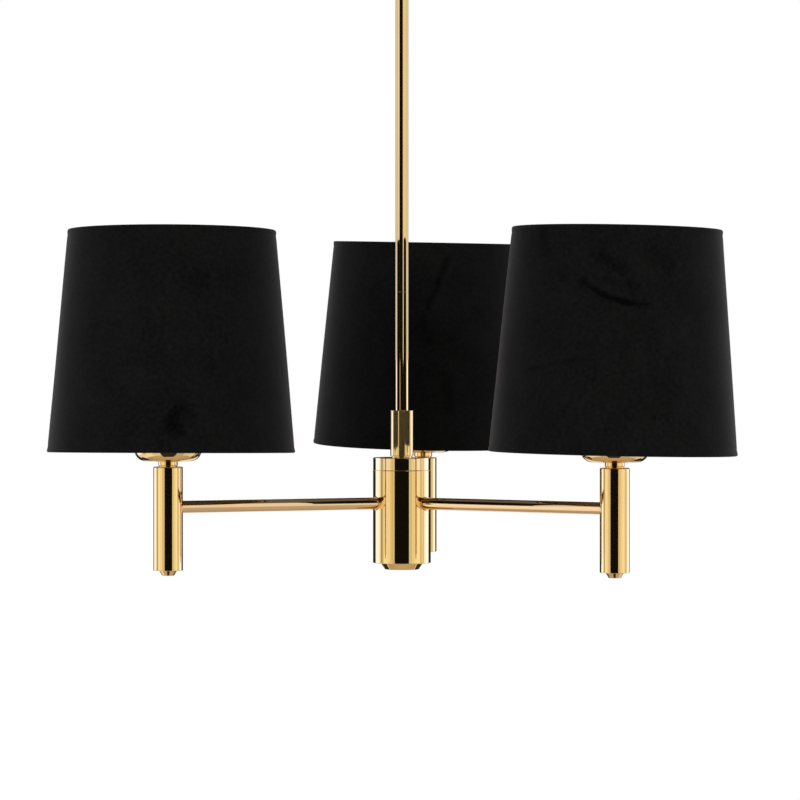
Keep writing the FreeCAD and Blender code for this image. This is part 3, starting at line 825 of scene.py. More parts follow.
class LAMP_OT_arms(bpy.types.Operator):
    """Build the three arms"""

    bl_idname = "lamp.arms"
    bl_label = "Arms"

    def execute(self, context):
        edge = context.scene.lamp_sizes.fine_edge
        bore = arm_radius - 1.5 * MM
        for station, angle in arm_angle.items():
            node = "arm_" + station
            along = corners_of(node) @ np.array([math.cos(angle), math.sin(angle), 0])
            near, far = float(along.min()), float(along.max())
            place = Matrix.Translation((0, 0, arm_level)) @ Matrix.Rotation(angle, 4, "Z") @ end_on
            corners = [(bore, near), (arm_radius, near, edge), (arm_radius, far, edge), (bore, far)]
            # The arms take the bluer brass, whose tint is a painted highlight colour
            add_turned("arm_tube_" + station, node, corners, material_named("lying_brass_tinted_for_highlights"), thin_steps, place)
        return {"FINISHED"}


class LAMP_OT_uprights(bpy.types.Operator):
    """Build the upright tubes, their cones, the rings above them and the dishes"""

    bl_idname = "lamp.uprights"
    bl_label = "Uprights and dishes"

    def execute(self, context):
        sizes = context.scene.lamp_sizes
        soft, brass, bore = sizes.soft_edge, material_named("upright_brass"), nipple_bore
        outer, inner, head_thick = 12.0 * MM, 10.5 * MM, 2.5 * MM
        disc, cone_foot, cone_tip = inner - play, 7.4 * MM, 4.9 * MM
        bead, bead_foot, bead_edge = 8.0 * MM, 7.3 * MM, 0.7 * MM
        dish_wall, dish_bend, dish_edge = 1.0 * MM, 8.6 * MM, 0.35 * MM
        for station in stations:
            place = upright(station)
            low, high = heights_of("tube_" + station)
            under = high - head_thick
            corners = [(bore, high), (outer, high, 0.8 * MM), (outer, low, soft), (inner, low),
                       (inner, under), (bore, under)]
            hole = hole_at(arm_angle[station] + math.pi, arm_level, arm_radius + play, inner, middling_steps,
                           2.5 * MM, 1.2 * MM, sizes.fine_edge)
            skin = turned_skin(outline(corners), middling_steps, [hole])
            dressed(skin.made("upright_tube_" + station, brass, place), "lamp", "tube_" + station)

            tip, disc_top = heights_of("tube_finial_" + station)
            corners = [(0, disc_top), (disc, disc_top), (disc, low), (cone_foot, low), (cone_tip, tip, soft),
                       (0, tip)]
            add_turned("upright_cone_" + station, "tube_finial_" + station, corners, brass, thin_steps, place)

            low, high = heights_of("bead_" + station)
            shelf = low + 0.8 * MM
            corners = [(bore, low), (bead_foot, low, 0.2 * MM), (bead_foot, shelf), (bead, shelf, bead_edge),
                       (bead, high, bead_edge), (bore, high)]
            add_turned("upright_bead_" + station, "bead_" + station, corners, brass, thin_steps, place)

            low, high = heights_of("dish_" + station)
            wide, floor = radius_of("dish_" + station), low + dish_wall
            within = wide - dish_wall
            corners = [(bore, low), (wide, low, dish_bend), (wide, high, dish_edge),
                       (within, high, dish_edge), (within, floor, dish_bend - dish_wall), (bore, floor)]
            add_turned("drip_dish_" + station, "dish_" + station, corners, brass, 120, place)
        return {"FINISHED"}


class LAMP_OT_canopy(bpy.types.Operator):
    """Build the ceiling cup, the collar that holds it up and the collar's set screw"""

    bl_idname = "lamp.canopy"
    bl_label = "Ceiling cup"

    def execute(self, context):
        brass, rod = material_named("upright_brass"), radius_of("lower_rod")
        low, high = heights_of("canopy")
        outer, hole = radius_of("canopy"), rod + 0.3 * MM
        wall, rim, bend = 1.2 * MM, 0.3 * MM, 16 * MM
        inner, floor = outer - wall, low + wall
        corners = [(inner, high, rim), (outer, high, rim), (outer, low, bend), (hole, low, 0.2 * MM),
                   (hole, floor), (inner, floor, bend - wall)]
        add_turned("ceiling_cup", "canopy", corners, brass, 144, body="canopy")

        low, high = heights_of("canopy_collar")
        outer, bore = radius_of("canopy_collar"), rod + 0.08 * MM
        level = (low + high) / 2
        corners = [(bore, low), (outer, low, 0.8 * MM), (outer, high, context.scene.lamp_sizes.fine_edge),
                   (bore, high)]
        hole = hole_at(0.0, level, 2.05 * MM, bore, middling_steps, 1.5 * MM, 0.5 * MM, 0.2 * MM)
        skin = turned_skin(outline(corners), middling_steps, [hole])
        dressed(skin.made("cup_collar", brass), "canopy", "canopy_collar")

        reach = corners_of("canopy_grub_screw")[:, 0]
        near, far = reach.min(), reach.max()
        tip, shank, socket, depth = 1.2 * MM, 2.0 * MM, 1.0 * MM, 1.8 * MM
        corners = [(0, near), (tip, near), (shank, near + 0.7 * MM), (shank, far, 0.3 * MM), (socket, far),
                   (socket, far - depth), (0, far - depth)]

        def flats(place):
            """Turn the round socket into a hexagon."""
            if abs(place.xy.length - socket) > same_place:
                return still
            off_flat = math.remainder(math.atan2(place.y, place.x), full_turn / 6)
            return Vector((place.x, place.y, 0)) * (1 / math.cos(off_flat) - 1)

        skin = turned_skin(outline(corners), thin_steps).moved(flats)
        place = Matrix.Translation((0, 0, level)) @ end_on
        screw = skin.made("cup_set_screw", material_named("zinc_plate"), place, False)
        dressed(screw, "canopy", "canopy_grub_screw")
        return {"FINISHED"}


class LAMP_OT_ceiling(bpy.types.Operator):
    """Build the strap, the earth screw, the hook with its nuts, the link and the loop on the rod"""

    bl_idname = "lamp.ceiling"
    bl_label = "Ceiling fitting"

    def execute(self, context):
        zinc = material_named("zinc_plate")
        add_eased("ceiling_strap_eased", "mounting_bracket", "root", 0.4 * MM)
        add_eased("earth_screw_eased", "earth_screw", "root", 0.2 * MM)
        add_eased("hook_nuts_eased", "hook_nuts", "hook", 0.35 * MM)
        add_eased("rod_loop_eased", "rod_loop", "lamp", 0.25 * MM)

        low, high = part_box("ceiling_hook")
        wire, bend, tip = high.x, 4.0 * MM, -202
        bowl = high.y - wire
        centre = low.z + wire + bowl
        bend_top = centre + math.sqrt(bowl ** 2 + 2 * bend * bowl)
        join = math.degrees(math.atan2(bend_top - centre, bend))
        path = [Vector((0, 0, high.z)), Vector((0, 0, (high.z + bend_top) / 2))]
        path += arc_points((bend, bend_top), bend, 180, 180 + join)[:-1]
        path += arc_points((0, centre), bowl, join, tip, 40)
        facing = Matrix.Rotation(math.pi / 2, 4, "Z")
        hook = bar_skin(path, wire, 28, domed=6).made("swivel_hook", zinc, facing)
        dressed(hook, "hook", "ceiling_hook")

        low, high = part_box("hang_link")
        wire = high.y
        half = high.x - wire
        upper, lower = high.z - wire - half, low.z + wire + half
        path = arc_points((0, upper), half, 0, 180, 24) + arc_points((0, lower), half, 180, 360, 24)
        dressed(bar_skin(path, wire, 24, closed=True).made("oval_link", zinc), "link", "hang_link")
        return {"FINISHED"}


class LAMP_OT_wiring(bpy.types.Operator):
    """Build the terminal block and its slotted screws"""

    bl_idname = "lamp.wiring"
    bl_label = "Wiring"

    def execute(self, context):
        add_eased("screw_block", "terminal_block", "lamp", 0.4 * MM)
        zinc = material_named("zinc_plate")
        low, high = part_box("terminal_screws")
        radius, head = 1.6 * MM, 1.0 * MM
        groove = (2.4 * radius, 0.6 * MM, 1.2 * MM)
        corners = [(0, -head), (radius, -head), (radius, 0, 0.25 * MM), (0, 0)]
        screw = turned_skin(outline(corners), 32).made("block_screws", zinc, turned_normals=False)
        mesh = bpy.data.meshes.new("slot")
        work = bmesh.new()
        bmesh.ops.create_cube(work, size=1)
        bmesh.ops.scale(work, vec=groove, verts=work.verts)
        work.to_mesh(mesh)
        work.free()
        cut = screw.modifiers.new("slot", "BOOLEAN")
        cut.object = linked("slot", mesh)
        cut.solver = "EXACT"
        cutter = cut.object
        settle(screw)
        bpy.data.objects.remove(cutter)
        width, depth = high.x - low.x - 2 * radius, high.y - low.y - 2 * radius
        repeated(screw, "copies_on_a_grid", zinc, Size_X=width, Size_Y=depth, Vertices_X=3, Vertices_Y=2)
        screw.data.transform(Matrix.Translation(((low.x + high.x) / 2, (low.y + high.y) / 2, high.z)))
        smoothed(screw.data)
        dressed(screw, "lamp", "terminal_screws")
        return {"FINISHED"}


class LAMP_OT_holders(bpy.types.Operator):
    """Build the lampholders with their threads, and the ribbed nuts that hold the shades"""

    bl_idname = "lamp.holders"
    bl_label = "Lampholders"

    def execute(self, context):
        sizes = context.scene.lamp_sizes
        black, bore = material_named("black_moulding"), nipple_bore
        cap_foot, cap_head, skirt, shoulder, socket = 10.0 * MM, 12.0 * MM, 13.3 * MM, 17.0 * MM, 7.4 * MM
        liner_out, liner_in = socket - play, socket - 0.3 * MM
        nut_foot, nut_head, nut_edge, nut_bore = 17.5 * MM, 16.5 * MM, 0.8 * MM, skirt + play
        for station in stations:
            place, node = upright(station), "lampholder_" + station
            low, high = heights_of(node)
            cap_top, shelf, rest, floor, roof = (low + rise * MM for rise in (18.0, 22.0, 25.0, 24.0, 8.0))
            corners = [(bore, low), (cap_foot, low), (cap_head, cap_top, 0.7 * MM),
                       (skirt, cap_top, 0.4 * MM), (skirt, shelf, 0.4 * MM), (shoulder, shelf, 0.6 * MM),
                       (shoulder, rest, 0.6 * MM), (skirt, rest, 0.2 * MM), (skirt, high, 0.8 * MM),
                       (socket, high, 0.6 * MM), (socket, floor), (0, floor), (0, roof), (bore, roof)]
            skin = threaded_skin(corners, middling_steps, skirt, rest + 0.8 * MM, high - 1.5 * MM, 60,
                                 sizes.thread_pitch, 0.45 * MM)
            dressed(skin.made("holder_" + station, black, place, False), "lamp", node)

            foot, head = floor + 0.2 * MM, high - 1.5 * MM
            corners = [(liner_out, foot), (liner_out, head), (liner_in, head), (liner_in, foot)]
            add_turned("holder_liner_" + station, node, corners, material_named("nickel"), 64, place)

            body, node = station + "_shade", "shade_ring_" + station
            low, high = heights_of(node)
            corners = [(nut_bore, low), (nut_foot, low, nut_edge), (nut_head, high, nut_edge),
                       (nut_bore, high)]
            add_turned("holder_nut_" + station, node, corners, black, middling_steps, place, body)
            foot, head = nut_foot - 0.25 * MM, nut_head - 0.05 * MM
            line = [Vector((foot, 0, low + 1.2 * MM)), Vector((head, 0, high - 1.2 * MM))]
            ribs = bar_skin(line, 0.7 * MM, 10, domed=3).made("holder_grip_" + station, black)
            repeated(ribs, "copies_round_an_axis", black, Count=sizes.grip_ribs, First_angle=0.0)
            ribs.data.transform(place)
            dressed(ribs, body, node)
        return {"FINISHED"}


class LAMP_OT_bulbs(bpy.types.Operator):
    """Build the bulbs: opal glass on a threaded cap"""

    bl_idname = "lamp.bulbs"
    bl_label = "Bulbs"

    def execute(self, context):
        radius, neck_angle, neck_bend = 22.5 * MM, math.radians(51.85), 5 * MM
        cap, cap_height, neck_foot = 6.95 * MM, 28.5 * MM, 7.4 * MM
        contact, collar, pitch = 2.5 * MM, 4.2 * MM, 2.8 * MM
        for station in stations:
            place, node = upright(station), "bulb_" + station
            low, high = heights_of(node)
            centre, cap_top = high - radius, low + cap_height
            below = centre - radius * math.tan(neck_angle / 2)
            neck = centre - radius * math.sin(neck_angle)
            corners = [(0, high), (radius, high, radius), (radius, below, radius - 0.1 * MM),
                       (neck_foot, neck - 5.03 * MM, neck_bend), (cap + play, cap_top), (0, cap_top)]
            glass = material_named("opal_glass")
            add_turned("bulb_glass_" + station, node, corners, glass, middling_steps, place)
            corners = [(0, low), (contact, low, 0.3 * MM), (contact, low + 1.5 * MM),
                       (collar, low + 2.6 * MM), (cap, low + 4.5 * MM, 0.5 * MM), (cap, cap_top, 0.2 * MM),
                       (0, cap_top)]
            skin = threaded_skin(corners, 64, cap, low + 5.2 * MM, cap_top - 3 * MM, 56, pitch, 0.55 * MM)
            dressed(skin.made("bulb_cap_" + station, material_named("nickel"), place, False), "lamp", node)
        return {"FINISHED"}


# How far each shade sits from square, as shades on wire spokes do: sideways along X, down, leaning to +X and
# leaning to -Y, and how much wider its foot is along X than a circle
shade_set = {"back": (1.7 * MM, 0.1 * MM, math.radians(1.20), math.radians(1.70), -0.3 * MM),
             "left": (2.7 * MM, 0.0, math.radians(0.05), math.radians(-1.13), 0.6 * MM),
             "right": (-1.2 * MM, 0.0, math.radians(1.10), math.radians(-0.21), 0.0)}


def sat(piece, station, steadied=None):
    """Set a shade's piece as the shade sits, each place by the share that steadied gives it."""
    sideways, sunk, roll, nod, wider = shade_set[station]
    pivot = station_axis[station].copy()
    pivot.z = heights_of("shade_ring_" + station)[0]
    low, high = heights_of("shade_" + station)
    turn = Matrix.Rotation(roll, 4, "Y") @ Matrix.Rotation(nod, 4, "X")
    for corner in piece.data.vertices:
        away = corner.co - pivot
        out = away.xy.length
        if out < same_place:
            continue
        wide = wider * max(0.0, min(1.0, (high - corner.co.z) / (high - low))) / out
        squashed = Vector((away.x * (1 + wide), away.y * (1 - wide), away.z))
        place = pivot + Vector((sideways, 0, -sunk)) + turn @ squashed
        corner.co = corner.co.lerp(place, steadied(out) if steadied else 1.0)
    piece.data.update()


def add_wire_ring(name, node, station, level, wire, below=math.inf):
    """A ring of round wire inside a shade, as wide as its node is below a height."""
    radius = radius_of(node, high=below, centre=station_axis[station]) - wire
    corners = [(radius + x * wire, level + z * wire, wire) for x, z in ((-1, -1), (1, -1), (1, 1), (-1, 1))]
    ring = turned(name + station, corners, material_named("plated_wire"), 200, upright(station))
    sat(ring, station)
    dressed(ring, station + "_shade", node)
    return radius


class LAMP_OT_frames(bpy.types.Operator):
    """Build the wire frames: the gallery, its spokes and the two rings"""

    bl_idname = "lamp.frames"
    bl_label = "Shade frames"

    def execute(self, context):
        plated = material_named("plated_wire")
        wire, spoke, spoke_bend = 1.25 * MM, 1.0 * MM, 12 * MM
        gallery, bore, gallery_thick, edge = 17.5 * MM, 13.6 * MM, 2.5 * MM, 0.6 * MM
        for station in stations:
            place, body, node = upright(station), station + "_shade", "shade_frame_" + station
            low, high = heights_of(node)
            level = low + wire
            reach = add_wire_ring("shade_foot_wire_", node, station, level, wire, level + 0.3 * MM)

            foot = high - gallery_thick
            corners = [(bore, foot, edge), (gallery, foot, edge), (gallery, high, edge), (bore, high, edge)]
            add_turned("shade_gallery_" + station, node, corners, plated, middling_steps, place, body)

            middle = (foot + high) / 2
            line = [Vector((gallery - 1.2 * MM, 0, middle)), Vector((gallery + 5 * MM, 0, middle - 0.6 * MM)),
                    Vector((reach - 0.4 * MM, 0, level + 0.9 * MM))]
            bar = bar_skin(bent(line, spoke_bend), spoke, 16, domed=4)
            spokes = bar.made("shade_spokes_" + station, plated)
            repeated(spokes, "copies_round_an_axis", plated, Count=3, First_angle=math.pi / 2)
            spokes.data.transform(place)
            sat(spokes, station, lambda out: max(0.0, min(1.0, (out - gallery) / (reach - gallery))))
            dressed(spokes, body, node)

            node = "shade_top_ring_" + station
            add_wire_ring("shade_top_wire_", node, station, sum(heights_of(node)) / 2, wire)
        return {"FINISHED"}


class LAMP_OT_shades(bpy.types.Operator):
    """Build the velvet covers with their hems and lap seams, and the foil linings"""

    bl_idname = "lamp.shades"
    bl_label = "Velvet shades"

    def execute(self, context):
        sizes = context.scene.lamp_sizes
        for station in stations:
            velvet, flat, area = velvet_cover(station, sizes)
            sat(velvet, station)
            dressed(velvet, station + "_shade", "shade_" + station)
            lining = shade_lining(station, sizes)
            sat(lining, station)
            dressed(lining, station + "_shade", "shade_" + station)
        return {"FINISHED"}


# Strokes where a hand has brushed the pile, in millimetres round the shade at the pile's radius, from the
# side towards -Y (to +X is positive), and up from its foot: a line's two ends, or an arc's middle, radius
# and degrees; then the half width, and how much lighter (positive) or darker the pile looks
pile_lines = {
    "left": [(18, 20, 20, 30, 3.5, -0.35), (-30, 60, -18, 95, 9, 0.12), (45, 110, 30, 150, 10, -0.12)],
    "right": [(-80, 64.6, -22, 75.5, 1.7, -0.5), (-78, 68.5, -24, 79, 1.6, 0.22),
              (-68, 173, -60, 160, 6, -0.85), (-12, 156, 6, 146, 6, -0.7), (-8, 138, 20, 132, 3, -0.35),
              (34, 162, 48, 150, 7, -0.45), (-40, 140, -25, 132, 5, -0.25), (20, 150, 36, 140, 5, 0.2)],
    "back": [(26, 168, 8, 124, 2.6, -0.7), (32, 166, 15, 124, 2.4, 0.2), (3, 112, 9, 98, 6, -0.55),
             (24, 66, 28, 40, 5, -0.55), (40, 90, 60, 60, 12, -0.15)],
}
pile_arcs = {
    "left": [(22.6, 25.4, 10, 95, 265, 3.2, -0.55), (22.6, 25.4, 9, 20, 90, 2.2, -0.35),
             (22.6, 25.4, 3, 0, 359, 6.5, -0.5), (26, 24.4, 1, 0, 359, 2.4, 0.15)],
    "right": [(25.7, 198.7, 80, 230, 262, 1.7, -0.75), (25.7, 198.7, 80, 240, 262, 2.5, -0.7),
              (25.7, 198.7, 80, 256, 272, 1.6, -0.8), (25.7, 198.7, 75.5, 236, 268, 1.6, 0.3)],
    "back": [],
}
pile_radius = 92.0
# How far the velvet stands off, in millimetres: over the wire and behind it, each with its distance from the
# edge and its width; where it laps; and in the slow and the quick wave round it
edge_lifts = ((0.32, 1.9, 1.1), (-0.16, 5.0, 1.2))
lap_lift, slow_wave, quick_wave = 0.42, 0.12, 0.07
wave_phase = {"back": 0.0, "left": 1.7, "right": 3.9}
# Radii of a shade at its foot and at its top, before its edges are rounded
shade_foot, shade_top = 100.0 * MM, 84.4 * MM


def hump(value, middle, width):
    """A soft bump of height 1 round a middle value."""
    return math.exp(-((value - middle) / width) ** 2)


def pile(station, run, rise):
    """How far the pile is brushed at a place on a shade, by the way round and up in millimetres."""
    total = 0.0
    for left, low, right, high, width, strength in pile_lines[station]:
        length = math.hypot(right - left, high - low)
        along = ((run - left) * (right - left) + (rise - low) * (high - low)) / length
        across = ((run - left) * (high - low) - (rise - low) * (right - left)) / length
        past = max(0.0, -along, along - length)
        total += strength * hump(math.hypot(across, past), 0, width)
    for middle, level, radius, start, end, width, strength in pile_arcs[station]:
        turn = math.degrees(math.atan2(rise - level, run - middle)) % 360
        past = max(0.0, start - turn, turn - end) * math.radians(radius)
        across = math.hypot(run - middle, rise - level) - radius
        total += strength * hump(math.hypot(across, past), 0, width)
    return total


def shade_wall(station):
    """Heights of a shade's foot and top, and its radius at a height and at a depth inside its wall."""
    low, high = heights_of("shade_" + station)
    slope = (shade_foot - shade_top) / (high - low)
    return low, high, lambda height, depth: shade_foot - slope * (height - low) - depth


def velvet_cover(station, sizes):
    """A closed strip of velvet: up the outside, over both edges and in behind them."""
    low, high, wall = shade_wall(station)
    span, thick, hem, lap = high - low, sizes.velvet_thick, sizes.hem_depth, sizes.lap_width
    tuck = thick + sizes.lining_thick + 0.1 * MM
    fold, cut = 0.7 * MM, 0.28 * MM
    inner = tuck + thick
    around = [(low, 0, fold), (high, 0, fold), (high, inner, fold), (high - hem, inner, cut),
              (high - hem, tuck, cut), (high - thick, tuck, 0.0), (high - thick, thick, 0.0),
              (low + thick, thick, 0.0), (low + thick, tuck, 0.0), (low + hem, tuck, cut),
              (low + hem, inner, cut), (low, inner, fold)]
    corners = [(wall(height, depth), height, rounding) for height, depth, rounding in around]
    near_edge = spaced(0.9 * MM, 6.3 * MM, 6)
    rows = [low + d for d in near_edge] + [high - d for d in near_edge]
    rows += spaced(low + 8 * MM, high - 8 * MM, 76)
    seam, lap_step = math.pi / 2, 0.004
    lap_half = lap / (shade_foot + shade_top)
    lap_sides = [seam + side * (lap_half + step) for side in (-1, 1) for step in (0, lap_step)]
    angles = sorted(spaced(0.0, full_turn, 288)[:-1] + lap_sides)
    skin = turned_skin(with_rows(outline(corners, 18.0), rows, outward_only=True), len(angles), angles=angles)
    phase = wave_phase[station]

    def settled(place):
        """The wire's bulge at each edge, the lap at the seam and the slight wave of stretched cloth."""
        out = math.hypot(place.x, place.y)
        if out < wall(place.z, thick / 2):
            return still
        azimuth = math.atan2(place.y, place.x)
        from_edge = min(place.z - low, high - place.z) / MM
        lift = sum(rise * hump(from_edge, middle, width) for rise, middle, width in edge_lifts)
        if abs(math.remainder(azimuth - seam, full_turn)) < lap_half + lap_step / 2:
            lift += lap_lift
        wave = slow_wave * math.sin(5 * azimuth + phase) * math.sin(math.pi * (place.z - low) / span)
        wave += quick_wave * math.sin(11 * azimuth - 2 * phase + 40 * (place.z - low))
        grow = (lift + wave * min(1.0, from_edge / 6)) * MM
        return Vector((place.x / out * grow, place.y / out * grow, 0))

    skin.moved(settled)
    marks = [pile(station, math.remainder(math.atan2(p.y, p.x) + seam, full_turn) * pile_radius,
                  (p.z - low) / MM) for p in skin.places]
    cover = skin.made("velvet_" + station, material_named("velvet"), upright(station), False)
    nap = cover.data.attributes.new("nap", "FLOAT", "POINT")
    nap.data.foreach_set("value", marks)
    slant = math.hypot(span, shade_foot - shade_top)
    turned_in = 2 * (hem + tuck + thick)
    cone = math.pi * (shade_foot - shade_top) / slant
    far = shade_foot / (shade_foot - shade_top) * slant
    near = far - slant
    flat = (2 * far * math.sin(cone) + lap, far - near * math.cos(cone) + turned_in)
    return cover, flat, (math.pi * (shade_foot + shade_top) + lap) * (slant + turned_in)


def shade_lining(station, sizes):
    """The stiff foil laminate behind the velvet."""
    low, high, wall = shade_wall(station)
    near = sizes.velvet_thick + play
    far = near + sizes.lining_thick
    inset = sizes.velvet_thick + 0.3 * MM
    foot, top = low + inset, high - inset
    corners = [(wall(height, depth), height)
               for height, depth in ((foot, near), (top, near), (top, far), (foot, far))]
    return turned("lining_" + station, corners, material_named("gold_lining"), 240, upright(station))


class LAMP_OT_nodes(bpy.types.Operator):
    """Give every carried-over node its material"""

    bl_idname = "lamp.nodes"
    bl_label = "Carried-over nodes"

    def execute(self, context):
        for node, piece in frame["nodes"].items():
            piece.data.materials.clear()
            piece.data.materials.append(material_of(node))
        return {"FINISHED"}


# Studio

# Soft boxes (bright) and flags (dark) that stand round the lamp, from the camera's side to the far side. Each
# has its far edge's azimuth from the camera in degrees, its glow, and its tint from warm (-1) to cool (1).
eye_left = [
    (29.3, 0.006, 0), (34, 0.72, 0), (42, 0.72, -0.4), (47, 0.84, -0.4), (60, 0.95, -0.1), (72, 1.06, 0.1),
    (79, 1.03, 0), (85, 0.62, -0.2), (91, 0.37, -0.4), (96, 0.78, 0.2), (102, 1.0, 0.5), (127, 1.25, 1.0),
    (132, 0.5, 0.8), (180, 0.02, 0)]
eye_right = [
    (28.3, 0.006, 0), (34.5, 0.77, 0), (39, 0.67, -0.3), (52, 0.90, -0.2), (60, 0.98, 0), (77, 1.06, 0),
    (86, 0.72, -0.3), (91, 0.95, -0.1), (98, 0.74, 0), (103, 0.9, 0.4), (131, 1.30, 1.0), (134, 0.6, 0.8),
    (180, 0.02, 0)]
upper_left = [(43.8, 0.006, 0), (64, 0.95, 0.3), (92, 0.72, 0.3), (118, 0.74, 0.6), (150, 0.72, 0.9),
              (180, 0.02, 0)]
upper_right = [(16.5, 0.006, 0), (34, 0.82, 0), (66, 0.90, -0.1), (92, 0.80, -0.1), (120, 0.74, 0.4),
               (150, 0.76, 0.9), (180, 0.02, 0)]
middle_left = [(29.3, 0.03, 0), (60, 0.80, 0), (84, 1.0, 0), (133, 0.85, 0.1), (158, 0.03, 0), (180, 1.0, 0)]
middle_right = [(28.3, 0.03, 0), (60, 0.50, 0.1), (90, 0.70, 0.3), (133, 0.80, 0.2), (158, 0.03, 0),
                (180, 1.0, 0)]
lower_left = [(29.3, 0.03, 0), (60, 0.80, 0), (84, 1.0, 0), (120, 0.90, 0.2), (158, 0.03, 0), (180, 1.0, 0)]
lower_right = [(28.3, 0.03, 0), (60, 0.50, 0.1), (90, 0.70, 0.3), (121, 0.80, 0.2), (158, 0.03, 0),
               (180, 1.0, 0)]
# Lowest and highest point of each row, and its panels to the left and to the right
tent_rows = [(-4.1, -2.1, [(29.3, 0.03, 0)], [(28.3, 0.03, 0)]), (-2.1, -1.47, lower_left, lower_right),
             (-1.47, -1.05, middle_left, middle_right), (-1.05, -0.4, eye_left, eye_right),
             (-0.4, 0.82, upper_left, upper_right)]
# Soft boxes that light the lamp and don't show in its polish: place, size and power
soft_boxes = {"left_box": ((-1.5, -1.8, 0.3), 1.2, 22), "right_box": ((1.7, -1.5, 0.2), 1.2, 20)}


def tinted(glow, tint):
    """Colour of a glow, from warm to cool."""
    green, blue = 0.15 * tint, 0.85 * tint
    return (glow, glow * (1 + green), glow * (1 + blue))


class LAMP_OT_studio(bpy.types.Operator):
    """Build the floor, the ring of soft boxes and flags, the light and the camera"""

    bl_idname = "lamp.studio"
    bl_label = "Studio"

    def execute(self, context):
        scene, studio = context.scene, context.scene.lamp_studio
        scene.view_settings.view_transform = "Standard"
        scene.camera = photo_camera(studio)
        studio_floor()
        tent_ring(studio)
        room_light(scene, studio)
        return {"FINISHED"}


def photo_camera(studio):
    azimuth = studio.camera_azimuth
    back = Vector((math.sin(azimuth), -math.cos(azimuth), 0))
    right = Vector((math.cos(azimuth), math.sin(azimuth), 0))
    up = Vector((0, 0, 1))
    place = back * studio.camera_distance + right * studio.camera_side + up * studio.camera_height
    view = Matrix((right, up, back)).transposed().to_4x4() @ Matrix.Rotation(-studio.camera_dip, 4, "X")
    data = bpy.data.cameras.new("photo_camera")
    data.lens = studio.lens
    data.sensor_width = 36.0
    data.clip_end = 100.0
    camera = linked("photo_camera", data)
    camera.matrix_world = Matrix.Translation(place) @ view
    return camera


def studio_floor():
    """A wide pale floor, well below the lamp."""
    level, reach, rings, spokes = -2.4, 10.0, 10, 64
    skin = Skin()
    angles = spaced(0, full_turn, spokes)[:-1]
    rows = [[skin.corner((out * math.cos(a), out * math.sin(a), level)) for a in angles]
            for out in spaced(0, reach, rings)[1:]]
    up = [Vector((0, 0, 1))] * spokes
    for inner, outer in zip(rows, rows[1:]):
        skin.band(outer, inner, up, up)
    skin.face(rows[0], up)
    material, tree, shader = new_material("studio_floor")
    path = add_node(tree, "ShaderNodeLightPath")
    tone = mixed(tree, noise_on(tree, 1.5), (0.84, 0.84, 0.84), (0.80, 0.80, 0.80))
    fill(tree, shader, {"Base Color": tone, "Roughness": 0.9, "Emission Color": (0.5, 0.5, 0.5, 1),
                        "Emission Strength": path.outputs["Is Camera Ray"]})
    floor = skin.made("studio_floor", material)
    floor.visible_glossy = False
    return floor


def tent_ring(studio):
    """Rows of upright panels round the lamp, which only its polish sees."""
    skin, glows = Skin(), []
    facing = -math.pi / 2 + studio.camera_azimuth
    for low, high, *both_sides in tent_rows:
        for sign, panels in zip((-1, 1), both_sides):
            start = 0
            for end, glow, tint in panels:
                turns = spaced(start, end, max(1, round((end - start) / 4)))
                start = end
                for first, second in zip(turns, turns[1:]):
                    corners, inward = [], []
                    for turn, heights in ((first, (low, high)), (second, (high, low))):
                        angle = facing + sign * math.radians(turn)
                        out = Vector((math.cos(angle), math.sin(angle), 0))
                        corners += [skin.corner((*(out.xy * studio.tent_radius), z)) for z in heights]
                        inward += [-out] * 2
                    skin.face(corners, inward)
                    glows += [*tinted(glow, tint), 1] * 4
    material, tree, _ = new_material("tent")
    attribute = add_node(tree, "ShaderNodeAttribute", attribute_name="glow")
    light = add_node(tree, "ShaderNodeEmission", {"Color": attribute.outputs["Color"]})
    fill(tree, tree.nodes["Material Output"], {"Surface": light.outputs[0]})
    tent = skin.made("tent", material)
    tent.data.attributes.new("glow", "FLOAT_COLOR", "POINT").data.foreach_set("color", glows)
    for ray in ("camera", "diffuse", "transmission", "shadow", "volume_scatter"):
        setattr(tent, "visible_" + ray, False)
    return tent


def background(tree, strength, color=(1, 1, 1)):
    return add_node(tree, "ShaderNodeBackground", {"Color": (*color, 1), "Strength": strength}).outputs[0]


def either(tree, share, first, second):
    return add_node(tree, "ShaderNodeMixShader", {0: share, 1: first, 2: second}).outputs[0]


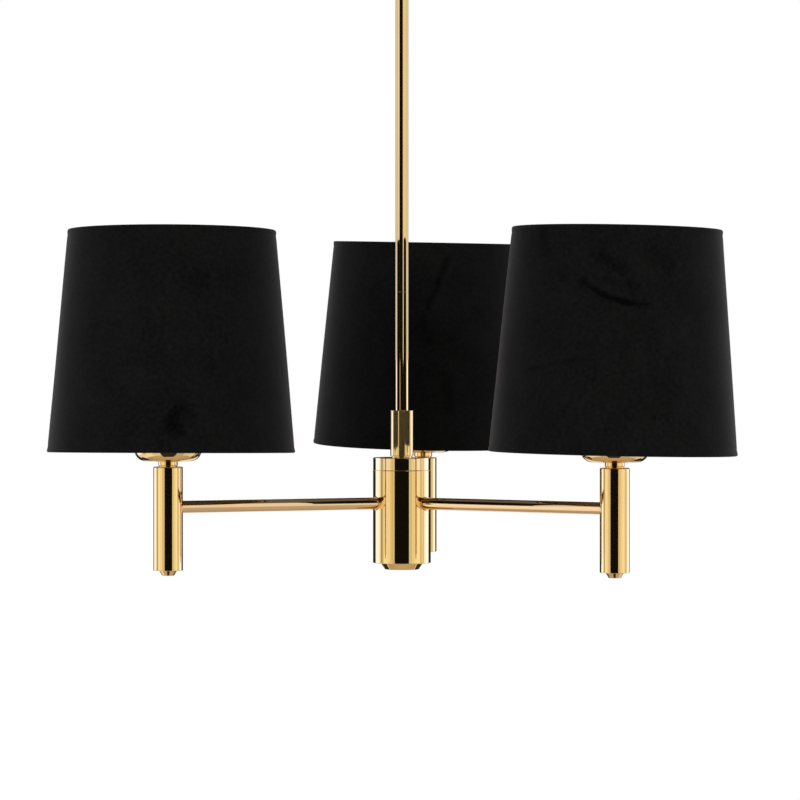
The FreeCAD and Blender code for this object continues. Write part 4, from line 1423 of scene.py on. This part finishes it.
def room_light(scene, studio):
    """White all round for the camera, an even light on the lamp, and a darker room in its polish."""
    world = bpy.data.worlds.new("studio")
    world.use_nodes = True
    tree = world.node_tree
    tree.nodes.clear()
    path = add_node(tree, "ShaderNodeLightPath")
    place = add_node(tree, "ShaderNodeTexCoord").outputs["Generated"]
    parts = add_node(tree, "ShaderNodeSeparateXYZ", {0: place})
    back = (math.sin(studio.camera_azimuth), -math.cos(studio.camera_azimuth), 0)
    ahead = add_node(tree, "ShaderNodeVectorMath", {0: place, 1: back}, operation="DOT_PRODUCT")
    fading = ranged(tree, ahead.outputs["Value"], (-0.6, 0.6), (0.42, 0.60))
    below = background(tree, fading, (1.0, 0.87, 0.80))
    upward = ranged(tree, parts.outputs["Z"], (-0.03, 0.03), (0, 1))
    reflected = either(tree, upward, below, background(tree, 0.13))
    seen = add_node(tree, "ShaderNodeMath",
                    {0: path.outputs["Is Camera Ray"], 1: path.outputs["Is Transmission Ray"]},
                    operation="MAXIMUM")
    unseen = either(tree, path.outputs["Is Glossy Ray"], background(tree, studio.daylight), reflected)
    light = either(tree, seen.outputs[0], unseen, background(tree, 1.0))
    add_node(tree, "ShaderNodeOutputWorld", {"Surface": light})
    scene.world = world
    for name, (spot, size, power) in soft_boxes.items():
        data = bpy.data.lights.new(name, "AREA")
        data.size = size
        data.energy = power
        box = linked(name, data)
        box.location = spot
        box.rotation_mode = "QUATERNION"
        box.rotation_quaternion = (Vector(spot) - Vector((0, 0, -0.45))).to_track_quat("Z", "Y")
        box.visible_glossy = False
        box.visible_camera = False


class LAMP_PT_panel(bpy.types.Panel):
    """The lamp's pieces, sizes and finish"""

    bl_idname = "LAMP_PT_panel"
    bl_label = "Hanging Lamp"
    bl_space_type = "VIEW_3D"
    bl_region_type = "UI"
    bl_category = "Hanging Lamp"

    def draw(self, context):
        for operator in operators:
            self.layout.operator(operator.bl_idname)
        for group in setting_groups:
            settings = getattr(context.scene, group)
            box = self.layout.box()
            for name in settings.__annotations__:
                box.prop(settings, name)


operators = (LAMP_OT_nodes, LAMP_OT_rod, LAMP_OT_hub, LAMP_OT_arms, LAMP_OT_uprights, LAMP_OT_canopy,
             LAMP_OT_ceiling, LAMP_OT_holders, LAMP_OT_bulbs, LAMP_OT_frames, LAMP_OT_shades, LAMP_OT_wiring,
             LAMP_OT_studio)
setting_groups = {"lamp_sizes": LampSizes, "lamp_finish": LampFinish, "lamp_studio": LampStudio}


def register():
    for group in setting_groups.values():
        bpy.utils.register_class(group)
    for name, group in setting_groups.items():
        setattr(bpy.types.Scene, name, PointerProperty(type=group))
    for operator in operators:
        bpy.utils.register_class(operator)
    bpy.utils.register_class(LAMP_PT_panel)


def unregister():
    bpy.utils.unregister_class(LAMP_PT_panel)
    for operator in reversed(operators):
        bpy.utils.unregister_class(operator)
    for name, group in setting_groups.items():
        delattr(bpy.types.Scene, name)
        bpy.utils.unregister_class(group)


def main():
    register()
    for operator in operators:
        group, name = operator.bl_idname.split(".")
        getattr(getattr(bpy.ops, group), name)()


if __name__ == "__main__":
    main()
